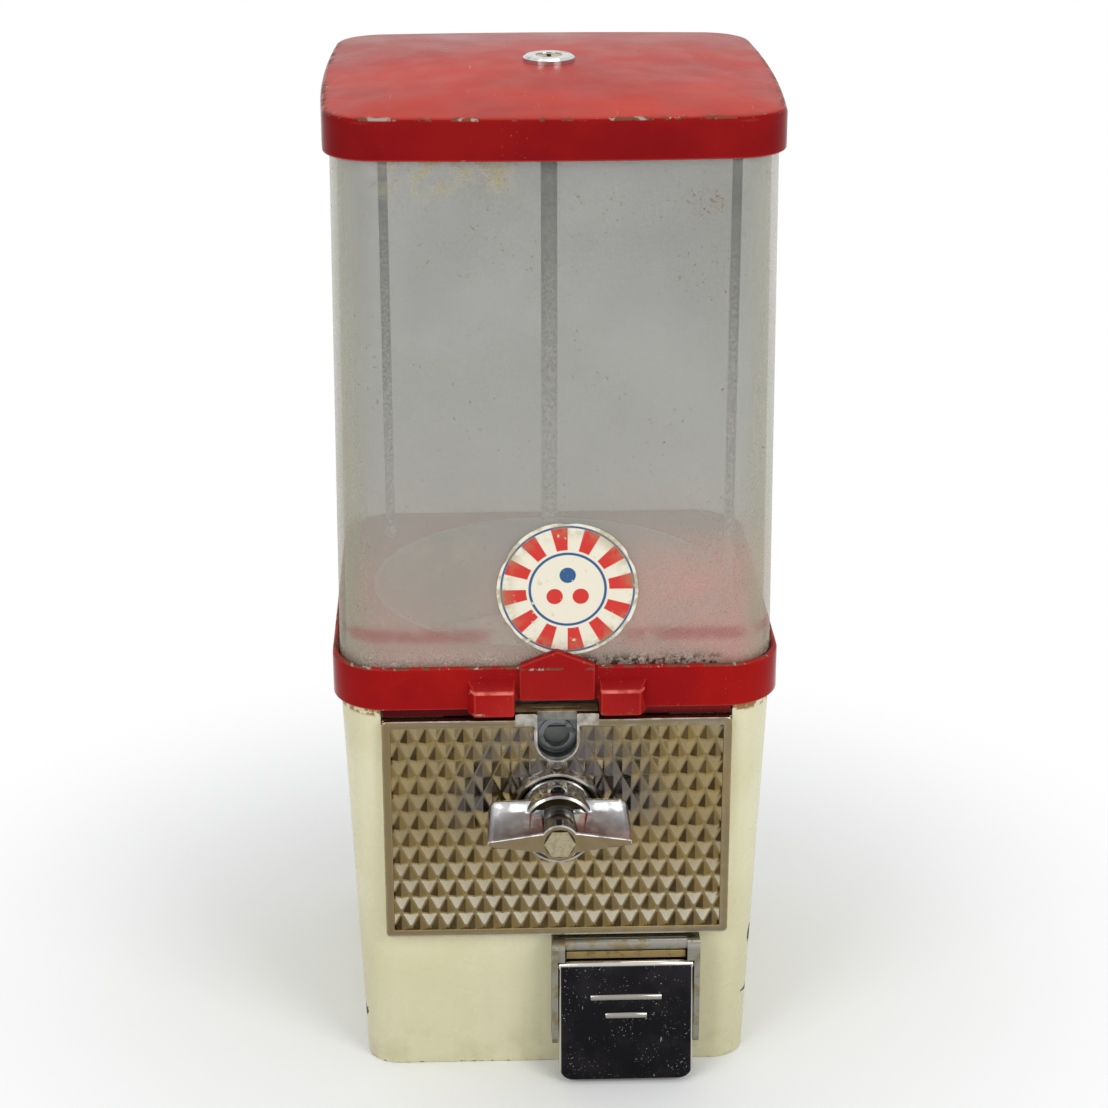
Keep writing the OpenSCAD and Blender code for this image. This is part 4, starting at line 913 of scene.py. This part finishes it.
def red_enamel(name, deep, deeper, fade_above_mm, edges):
    """Glossy coat, IOR 1.5: deep red, faded above a height, with chips along its edges.

    Each entry of edges is (low, high, share): a strip of heights in mm, and how much of it is chipped.
    """
    paint = Finish(name)
    x, y, z = paint.axes()
    top = paint.facing(*UP) * ramp_mm(z, fade_above_mm - 1, fade_above_mm)
    faded = ramp(top, 0.5, 1.0) * paint.patches(50, 0.2, 0.75, 0.35, 0.9, detail=4.0)
    shaded = until(z, *SHADE_Z) * ramp_mm(y, *SHADE_Y)
    scratches = (paint.patches(1.0, 0.7, 0.74, detail=2.0, stretch=(1.0, 0.05, 1.0))
                 * paint.patches(25, 0.5, 0.6))
    chipped = paint.wear(0.3, 0.55) * paint.patches(14, 0.44, 0.56) * paint.specks(2.2, 0.35, 0.04)
    by_badge = paint.specks(0.9, 0.25) * band(z, *BADGE_SPECKS_Z, 1.5) * band(x, *BADGE_SPECKS_X, 5)
    strips = []
    for low, high, share in edges:
        rough_line = paint.noise(7, detail=5.0, roughness=0.7) * 0.75 + paint.noise(1.5) * 0.25
        strips.append(band(z, low, high, 0.25) * ramp(rough_line, 0.62 - 0.2 * share, 0.635 - 0.2 * share))
    chips = largest(chipped, largest(paint.specks(1.4, 0.02), by_badge), *strips)
    # Painted highlight: a pale pink line along the tabs' top front edges.
    tab_highlight = (band(z, *TAB_HIGHLIGHT_Z, 0.25) * band(abs(x), *TAB_HIGHLIGHT_X, 0.2) * until(y, -86.8, -86.2)
                * paint.patches(4, 0.35, 0.6, 0.3, 0.9, detail=4.0))
    under_chips = coats("#6E4432", (paint.patches(4.0, 0.56, 0.60), "#9A9187"))
    # Painted highlight: every edge gets a lighter red.
    # Painted reflection: the lid's top turns grey-pink towards the back.
    colour = coats(deep, (paint.patches(35, 0.35, 0.65), deeper), (faded, "#C23A2A"),
                   (top * ramp_mm(y, 0, 70, 0.0, 0.6), "#9A6560"), (shaded * 0.8, "#38101A"),
                   (scratches * 0.4, "#D98A80"), (tab_highlight, "#DE7A6E"),
                   (paint.wear(0.25, 0.6) * 0.3, "#D2463A"), (chips, under_chips))
    rough = mixed(largest(chips, faded * 0.5), paint.patches(15, 0.3, 0.7, 0.16, 0.28), 0.62)
    relief = paint.noise(1.6, detail=1.0) * 0.06 - chips
    return paint.made_of(colour, rough, (relief, 0.15, 0.6), IOR=1.5, Specular_IOR_Level=0.05)


NEVER_MM = 400.0                     # a height above the machine, so that the collar does not fade
dress(lid_cap, red_enamel("red_stove_enamel_lid", "#760A0F", "#831010", SKIRT_TOP,
                          ((382.3, 383.2, 0.55), (367.5, 368.3, 0.15))))
dress(collar_frame, red_enamel("red_stove_enamel_collar", "#880B0F", "#96120F", NEVER_MM,
                               ((175.5, 176.4, 0.6), (158.8, 159.5, 0.4))))

# %% [markdown]
# ### Clouded plastic
# The globe is clear plastic that has gone hazy: dust clings to it, mostly near the bottom, the wall
# is finely scratched, and old syrup has left yellow stains at the top and brown dirt at the bottom.
# The pink and the red band low on the front, and the thicker haze at the corners, are painted light.
# The haze is the shader's alpha. Light and sight both pass two faces of the wall, so a face with
# alpha a lets (1 - a) ** 2 through: 0.2 leaves about two thirds, 0.6 a sixth.

# %% Globe plastic
FRONT_Y = (-70, -66)                 # depths between which the marks on the front wall end
# The first pair of heights bounds the painted pink of the red collar's light on the front.
COLLAR_TINT_Z, SYRUP_Z, SYRUP_X = (205, 236), (354, 372), (-62, -14)
CLUSTER_X, CLUSTER_Z, DIRT_X = (46, 60), (347, 357), (2, 64)
HAZE_TOP, HAZE_LOW, HAZE_BACK = 0.18, 0.38, 0.62


def clouded_plastic():
    """IOR 1.49. Alpha runs from 0.18 at the top of the front to 0.38 low down, and 0.62 at the back."""
    paint = Finish("clouded_clear_plastic")
    x, y, z = paint.axes()
    cloud = paint.patches(45, 0.3, 0.7, detail=5.0, roughness=0.6)
    grain = paint.patches(0.6, 0.35, 0.65, detail=2.0)
    in_front, on_face = until(y, *FRONT_Y), until(y, -70, -69)
    # Painted reflection: the corners, where the wall is seen edge-on, get a thicker yellowish haze.
    corner = ramp_mm(abs(x), 66, 78)
    # Painted pink: the red collar's light seen through the haze, low on the front.
    painted_collar_tint = (in_front * until(z, *COLLAR_TINT_Z) * ramp_mm(x, -30, 50, 0.3, 0.9)
            * paint.patches(35, 0.3, 0.6, 0.4, 1.0))
    # Painted red band: the collar's red seen low in the front wall.
    painted_collar_band = (band(z, GLOBE_LOW + 20, GLOBE_LOW + 25, 1.5) * on_face * paint.patches(14, 0.35, 0.55)
             * ramp_mm(abs(x), 20, 30))
    syrup = (band(z, *SYRUP_Z, 4) * band(x, *SYRUP_X, 8)
             * paint.patches(8, 0.46, 0.62, detail=6.0, roughness=0.7))
    dirt = (in_front * until(z, GLOBE_LOW + 12, GLOBE_LOW + 18) * band(x, *DIRT_X, 6)
            * paint.patches(2.2, 0.46, 0.54, detail=6.0, roughness=0.7))
    dust = (until(z, GLOBE_LOW + 10, GLOBE_LOW + 18) * paint.patches(12, 0.4, 0.6, 0.25, 1.0)
            * paint.patches(0.9, 0.5, 0.56, detail=5.0, roughness=0.7))
    stray = paint.patches(1.6, 0.67, 0.70, roughness=0.6) * paint.patches(30, 0.42, 0.55)
    cluster = (paint.patches(1.8, 0.60, 0.64, detail=2.0) * band(x, *CLUSTER_X, 2)
               * band(z, *CLUSTER_Z, 2) * on_face)
    spots = largest(stray, cluster)
    on_front = ramp_mm(z, GLOBE_LOW + 30, GLOBE_HIGH - 10, HAZE_LOW, HAZE_TOP)
    haze = mixed(ramp_mm(y, -70, 0), on_front, HAZE_BACK)
    haze = haze + (grain - 0.5) * 0.03 + (cloud - 0.5) * 0.08
    haze = mixed(corner * 0.6, haze, HAZE_BACK)
    for mask, cover in ((syrup, 0.5), (painted_collar_tint, 0.1), (painted_collar_band, 0.12), (dust, 0.55), (dirt, 0.95), (spots, 0.9)):
        haze = mixed(mask * cover, haze, 1.0)
    low_down = until(z, GLOBE_LOW + 20, GLOBE_LOW + 120)
    colour = coats("#BCBDB6", (cloud, "#B3B3AD"), (low_down * 0.6, "#BAB09C"), (painted_collar_tint, "#DCA89C"),
                   (grain * 0.1, "#C4C1B6"), (corner * 0.7, "#B0AC92"), (syrup, "#A3966A"),
                   (painted_collar_band * 0.55, "#A0484A"), (dust, "#C9C0AE"), (dirt, "#3E3324"), (spots, "#7A6242"))
    return paint.made_of(colour, ramp(grain, 0, 1, 0.2, 0.4), IOR=1.49, Alpha=haze)


dress(globe_wall, clouded_plastic())

# %% [markdown]
# ### Nickel, chrome and steel
# Metals have no colour of their own under the light: they tint what they mirror. Nickel is warmer
# and duller than chrome. On the coin plate some reflections are painted into the colour: the faces
# of the diamonds that look up are painted dark brown, darkest on those that also look left, the
# faces that look down are painted bright, and the handle's reflection is a painted grey cloud.

# %% Plated nickel
HANDLE_REFLECTION_R, HANDLE_REFLECTION_Z = (27, 46), (100, 118)          # where the handle's reflection is painted on the plate as a grey cloud
STRIP_TOP_Z, PLATE_TOP_Z = (151.8, 152), (153.7, 153.9)


def plated_nickel():
    """Metal. Painted reflections by face direction and round the handle; polish on the boss and window rim.
    """
    paint = Finish("worn_nickel_plate")
    x, y, z = paint.axes()
    looks_up, looks_down = (ramp(paint.facing(*way), 0.05, 0.12) for way in (UP, DOWN))
    looks_left = ramp(paint.facing(*LEFT), -0.12, 0.12)
    in_field = (until(abs(x), PLATE_HALF - BORDER + 0.1, PLATE_HALF - BORDER + 0.5)
                * band(z, PLATE_LOW + BORDER, PLATE_HIGH - BORDER, 0.2))
    # Painted reflection: a dark brown on the faces that look up, darkest where they also look left.
    film_and_reflection = (looks_up * mixed(looks_left, 0.45, 0.92) * in_field
            * paint.patches(9, 0.35, 0.65, 0.82, 1.0, detail=2.0))
    from_hub = paint.distance_from(0, -PLATE_D, AXIS_Z)
    # Painted reflection: a bluish grey cloud round the handle.
    handle_reflection = until(from_hub, *HANDLE_REFLECTION_R) * ramp_mm(z, *HANDLE_REFLECTION_Z) * paint.patches(16, 0.36, 0.56)
    rim_edge = (WINDOW_R + 1.0, WINDOW_R + 1.2)
    rim_low = until(paint.distance_from(0, -PLATE_D, WINDOW_Z), *rim_edge)
    rim_side = until(abs(x), *rim_edge) * ramp_mm(z, WINDOW_Z, WINDOW_Z + 0.2)
    on_strip = ramp_mm(z, *STRIP_TOP_Z) * until(abs(x), STRIP_HALF - 0.1, STRIP_HALF + 0.1)
    top_edge = largest(on_strip, ramp_mm(z, *PLATE_TOP_Z) * ramp_mm(y, -84.2, -84, 1.0, 0.4))
    polish = largest(ramp_mm(from_hub, BOSS_FOOT_R - 0.2, BOSS_FOOT_R + 0.2, 0.8, 0.0), rim_low, rim_side,
                     top_edge * 0.75, paint.wear(0.3, 0.6) * (1.0 - in_field) * 0.2)
    polished = coats("#C6C3BC", (paint.patches(5, 0.35, 0.65, detail=4.0), "#8F887B"))
    # Painted reflection: the faces that look down are painted bright, most near the bottom.
    # Tan base: tarnished nickel plus a painted brown reflection; faces looking ahead get a painted brown-grey
    # reflection.
    colour = coats("#96804F", (paint.patches(22, 0.35, 0.65, detail=4.0), "#8A7850"),
                   (looks_down * ramp_mm(z, 62, 115, 1.0, 0.15), "#CFC7B4"), (film_and_reflection, "#2C2318"),
                   (ramp(paint.facing(*FORWARD), 0.985, 0.998) * 0.75, "#786D57"),
                   (handle_reflection * 0.7, "#5F5E63"), (polish, polished), (paint.specks(1.2, 0.03), "#5A4830"))
    rough = mixed(polish, paint.patches(5, 0.3, 0.7, 0.22, 0.36, detail=4.0), 0.14)
    return paint.made_of(colour, rough, (paint.noise(1.2), 0.03, 0.5), Metallic=1.0)


dress(plate, plated_nickel())

# %% Chrome, bright and painted dark
BOLT_GAP_R, RECESS_R, RECESS_Y = (5.1, 5.75), (12.6, 12.9), (-104, -103)
FACET_FRONT_Y, FACET_BACK_Y = (-111.2, -110.8), (-102, -101)      # the upper faces of the wings


def rubbed_chrome():
    """Metal, nearly white; grey clouds, and a painted brown reflection on the faces that look straight ahead.
    """
    paint = Finish("bright_chrome_plate")
    x, y, z = paint.axes()
    off_axis = length_of(x, z - AXIS_Z * MM)
    # The grey clouds are partly grime and partly a painted reflection of the hazy globe.
    cloud = paint.patches(7, 0.42, 0.62)
    # Painted reflection: the faces that look straight ahead are tinted brown.
    ahead = ramp(paint.facing(*FORWARD), 0.9, 0.97)
    round_bolt = band(off_axis, *BOLT_GAP_R, 0.15) * until(y, -HANDLE_FRONT + 0.5, -HANDLE_FRONT + 1)
    # Painted dark reflection on the hub's front face, behind the bar.
    recess = ahead * ramp_mm(y, *RECESS_Y) * until(off_axis, *RECESS_R)
    # Painted dark reflection on the wings' upward faces, which would mirror the red collar.
    level = ramp(paint.facing(*UP), 0.88, 0.97) * ramp_mm(y, *FACET_FRONT_Y) * until(y, *FACET_BACK_Y)
    colour = coats("#BDBDBC", (cloud * 0.75, "#7A7A7C"), (ahead * 0.92, "#7C6A48"),
                   (round_bolt * 0.85, "#2E2719"), (recess, "#3B3020"), (level * 0.7, "#5E584E"),
                   (paint.specks(0.9, 0.03), "#857658"))
    return paint.made_of(colour, mixed(cloud, 0.08, 0.22), (paint.noise(6, detail=2.0), 0.08, 0.4),
                         Metallic=1.0)


def chrome_painted_dark():
    """Chrome with a painted dark reflection: near black, slightly blue, with pin-point specks, scratches and
    bright edges.
    """
    paint = Finish("chrome_painted_dark")
    x, y, z = paint.axes()
    pins = paint.patches(0.8, 0.66, 0.70, detail=2.0) * paint.patches(9, 0.42, 0.6, detail=2.0) * 0.6
    scratches = (paint.patches(2.4, 0.70, 0.72, detail=2.0, stretch=(1.0, 1.0, 0.08))
                 * paint.patches(12, 0.52, 0.58))
    side = ramp_mm(abs(x - CHUTE_X * MM), FLAP_HALF - 0.9, FLAP_HALF - 0.5)
    barrel_top = ramp_mm(z, PIN_Z + 0.2, PIN_Z + 0.9)
    slope = (PIN_D + BARREL_R - FLAP_LOW_D) / (PIN_Z - FLAP_LOW)
    front_depth = (z - FLAP_LOW * MM) * slope + FLAP_LOW_D * MM     # the same line as flap_front
    rib = ramp_mm(y * -1.0 - front_depth, 0.3, 0.5) * until(z, 46, 47)
    bright = largest(pins, scratches * 0.5, side, barrel_top, rib * 0.55)
    # The near-black base is a painted dark reflection; the edges, barrel and ribs keep the chrome's pale
    # colour.
    colour = coats("#1D1C1F", (paint.patches(14, 0.4, 0.7, detail=4.0), "#29272A"), (bright, "#C9C6BC"))
    return paint.made_of(colour, paint.patches(6, 0.3, 0.7, 0.08, 0.18),
                         (paint.noise(3, detail=2.0), 0.02, 0.3), Metallic=1.0)


dress(turn_handle, rubbed_chrome())
dress(flap_tray, chrome_painted_dark())

# %% [markdown]
# ### Finishes for the pieces that keep their CAD meshes
# The other pieces are right as the CAD model has them. Each gets a metal or a plastic that fits
# how it is made, by adding the material to the CAD object.

# %% Plain metals and plastics
def metal(name, base, film_colour, rough=(0.1, 0.2), film_share=0.3, grain_mm=6.0, bump_mm=0.02):
    """Any plain metal: a base colour, a duller film in clouds, and a roughness that varies with it."""
    paint = Finish(name)
    level = 0.62 - 0.3 * film_share
    film_and_reflection = paint.patches(grain_mm, level, level + 0.13, detail=5.0, roughness=0.6)
    return paint.made_of(coats(base, (film_and_reflection * 0.7, film_colour)), mixed(film_and_reflection, *rough),
                         (paint.noise(grain_mm * 0.2), bump_mm, 0.5), Metallic=1.0)


def moulded(name, base, dusty, rough=0.45, metallic=0.0):
    """Moulded plastic or paint with dust in clouds and a fine grain."""
    paint = Finish(name)
    dust = paint.patches(18, 0.4, 0.7, detail=5.0)
    return paint.made_of(coats(base, (dust * 0.6, dusty)), mixed(dust, rough, rough + 0.2),
                         (paint.noise(1.0, detail=2.0), 0.03, 0.4), Metallic=metallic, IOR=1.5)


def dusty_rod():
    """Dark oiled steel under candy dust, which lies thicker towards the bottom."""
    paint = Finish("dusty_rod_steel")
    z = paint.axes()[2]
    dust = ramp_mm(z, 200, 360, 1.0, 0.12) * paint.patches(1.2, 0.4, 0.6, 0.4, 1.0, detail=5.0, roughness=0.7)
    return paint.made_of(coats("#141210", (dust, "#B3ADA2")), 0.6, (paint.noise(1.0), 0.05, 0.5),
                         Metallic=0.6 - dust * 0.6)


# What shows of the mechanism housing through the coin window, painted a darker grey as shade, and
# the slot across it, painted black as shade.
SEEN_X, SEEN_Z, SLOT_Z = (-8.6, 8.6), (128, 153.2), (146.6, 147.2)


def rusty_housing():
    """Zinc casting. Where the coins go in, above 156 mm, a dull tan rust has crept over it."""
    paint = Finish("die_cast_zinc_housing")
    x, y, z = paint.axes()
    film_and_reflection = paint.patches(5, 0.4, 0.65, detail=5.0)
    # Painted shade: the housing behind the coin window is darker, and the slot is a black band.
    seen = band(x, *SEEN_X, 0.3) * band(z, *SEEN_Z, 0.3) * until(y, -74, -70)
    rust = ramp_mm(z, 156.2, 156.6) * paint.patches(3, 0.3, 0.5, 0.75, 1.0, detail=5.0)
    colour = coats("#84847F", (film_and_reflection, "#67655F"), (seen * 0.8, "#606463"),
                   (seen * band(z, *SLOT_Z, 0.2), "#121212"), (rust, coats("#A88F62", (film_and_reflection, "#8A6C3E"))))
    return paint.made_of(colour, 0.45, (paint.noise(1.2), 0.05, 0.5), Metallic=0.8 - rust * 0.8)


# %% Dress the CAD pieces
cad_finishes = {
    rusty_housing(): ["mech_housing"],
    metal("zinc_plated_steel", "#A3A4A2", "#7E7668", (0.28, 0.45), 0.4): [
        "base_plate", "rod_nut", "brush_holder", "agitator", "lock_nut", "bowl_screws", "mech_screws",
        "hood_screws", "pawl_pin", "pawl_spring", "spindle"],
    dusty_rod(): ["centre_rod", "side_rods"],
    metal("spring_clip_steel", "#3A3733", "#5A5246", (0.4, 0.6), 0.5, 2.5): ["spindle_clip"],
    metal("die_cast_zinc", "#8E8C84", "#6F6350", (0.32, 0.5), 0.5, 5, 0.04): ["ratchet_wheel", "pawl"],
    metal("darkened_zinc_wheel", "#74787A", "#5A564E", (0.32, 0.5), 0.5, 5, 0.04): ["coin_wheel"],
    metal("dull_cast_hood", "#8E8C82", "#7C6C4A", (0.28, 0.5), 0.5, 6, 0.05): ["chute_hood"],
    metal("machined_brass", "#C7A565", "#8D7443", (0.2, 0.35), 0.4): [
        "crown_gear", "drive_pinion", "spindle_bush"],
    metal("nickel_lock", "#C9CBCB", "#9A968C", (0.12, 0.3), 0.4, 4): ["lock_body"],
    metal("brass_key_plug", "#A79C80", "#6A604C", (0.25, 0.45), 0.5, 2.5): ["lock_plug"],
    metal("hex_bolt_steel", "#A89F84", "#93896C", (0.25, 0.4), 0.5, 1.5): ["handle_bolt", "flap_pin"],
    moulded("grey_hopper_plastic", "#8F9192", "#B9B4A8"): ["hopper_bowl"],
    moulded("ivory_wheel_plastic", "#D8D3C2", "#B7AE98"): ["product_wheel"],
    moulded("galvanised_channel", "#9B9D9C", "#8A8678", 0.4, 0.8): ["chute_channel"],
    moulded("brown_bristle", "#4C4438", "#6A6152", 0.7): ["brush"],
}
for paint, names in cad_finishes.items():
    for name in names:
        dress(bpy.data.objects[name], paint)
dress(hood_strip, metal("tan_hood_strip", "#8E7B52", "#6A5A3C", (0.35, 0.5), 0.4, 4, 0.04))

# %% [markdown]
# ### Printed paper
# The label's print is rings and rays: a pale disc in the middle with a blue ring and three dots,
# and a band of red and cream rays round it. The distance from the label's middle chooses the ring,
# and the angle round it chooses the ray.

# %% Label print
RAYS, RAY_RING, BLUE_RINGS = 12, (15.5, 24.3), ((13.6, 14.6), (24.3, 25.1))
DOTS, DOTS_AT, DOT_RIM = 3, 5.6, (2.95, 3.15)
LABEL_RED, LABEL_BLUE = "#C4281F", "#24507F"


def printed_paper():
    """Ring by distance r in mm, ray by the sign of sin(n * angle); stained and rubbed at the edge."""
    paint = Finish("printed_paper_label")
    x, z = paint.axes()[::2]
    dx, dz = x - LABEL_X * MM, z - LABEL_Z * MM
    r = length_of(dx, dz)
    ray = ramp((dz.maths("ARCTAN2", dx) * RAYS).maths("SINE"), -0.12, 0.12)
    print_layers = [(ray * band(r, *RAY_RING, 0.15), LABEL_RED)]
    print_layers += [(band(r, *ring, 0.15), LABEL_BLUE) for ring in BLUE_RINGS]
    for k in range(DOTS):
        turn = math.radians(90 + 360 / DOTS * k)
        off = length_of(dx - DOTS_AT * MM * math.cos(turn), dz - DOTS_AT * MM * math.sin(turn))
        print_layers.append((until(off, *DOT_RIM), LABEL_RED if k else LABEL_BLUE))
    stain = ramp_mm(r, 18, 27) * paint.patches(5, 0.42, 0.6, detail=5.0)
    rubbed = paint.patches(2.5, 0.62, 0.68, detail=5.0) * paint.patches(11, 0.45, 0.6)
    colour = coats("#DDD6C2", *print_layers, (stain * 0.7, "#8F7F58"), (rubbed, "#CFC6AE"))
    return paint.made_of(colour, 0.55, (paint.noise(2.0), 0.05, 0.4), IOR=1.45)


dress(round_label, printed_paper())
print("materials:", len(bpy.data.materials))

# %% [markdown]
# ## Floor, background and light
# The floor is a pale sheet that catches the machine's shadow and turns into plain white further
# out. To the camera, and in chrome and clear plastic, the world is white too; all other light that
# comes from it is a soft grey. Two area lamps, one on each side of the camera, and a larger
# one overhead give the gentle highlights of a light tent.

# %% Stage
FLOOR_HALF = 6.0
WHITE = (1.0, 1.0, 1.0, 1.0)
floor_mesh = bpy.data.meshes.new("floor")
floor_corners = [(x * FLOOR_HALF, y * FLOOR_HALF, 0) for x, y in ((-1, -1), (1, -1), (1, 1), (-1, 1))]
floor_mesh.from_pydata(floor_corners, [], [(0, 1, 2, 3)])
floor = placed("floor", floor_mesh)


def seen_directly(tree):
    """1 for rays from the camera, in a mirror or through clear plastic; 0 for light that scatters."""
    path = add(tree, "ShaderNodeLightPath").outputs
    return largest(*[Value(path[f"Is {kind} Ray"]) for kind in ("Camera", "Glossy", "Transmission")])


def pale_sheet():
    """Pale grey-white paper near the machine; beyond 340 mm it shows as white."""
    paint = Finish("pale_sheet")
    away = Value(add(paint.tree, "ShaderNodeVectorMath", {0: paint.at}, operation="LENGTH").outputs["Value"])
    sheet = add(paint.tree, "ShaderNodeBsdfPrincipled", {"Base Color": "#F4F4F2", "Roughness": 0.9})
    white = add(paint.tree, "ShaderNodeEmission", {"Color": WHITE, "Strength": 1.0})
    blend = add(paint.tree, "ShaderNodeMixShader", {0: ramp_mm(away, 110, 340) * seen_directly(paint.tree),
                1: sheet.outputs[0], 2: white.outputs[0]})
    add(paint.tree, "ShaderNodeOutputMaterial", {"Surface": blend.outputs[0]})
    return paint.material


floor.data.materials.append(pale_sheet())

world = bpy.data.worlds.new("sky")
bpy.context.scene.world = world
world.use_nodes = True
world.node_tree.nodes.clear()
sky = coats("#BFC2C6", (seen_directly(world.node_tree), WHITE))
background = add(world.node_tree, "ShaderNodeBackground", {"Strength": 1.0, "Color": sky})
add(world.node_tree, "ShaderNodeOutputWorld", {"Surface": background.outputs[0]})

# %% Lamps
def lamp(name, at, towards, size, watts):
    """A square area lamp that faces a point."""
    light = bpy.data.lights.new(name, "AREA")
    light.shape, light.size, light.energy = "SQUARE", size, watts
    made = placed(name, light)
    made.location = at
    made.rotation_euler = (Vector(towards) - Vector(at)).to_track_quat("-Z", "Y").to_euler()
    return made


lamp("right", (0.95, -1.25, 0.95), (0, 0, 0.2), 0.8, 11)
lamp("left", (-0.95, -1.25, 0.95), (0, 0, 0.2), 0.8, 8.5)
lamp("top", (0.0, 0.1, 1.6), (0, 0, 0.3), 1.0, 5)
print("lamps:", len(bpy.data.lights))
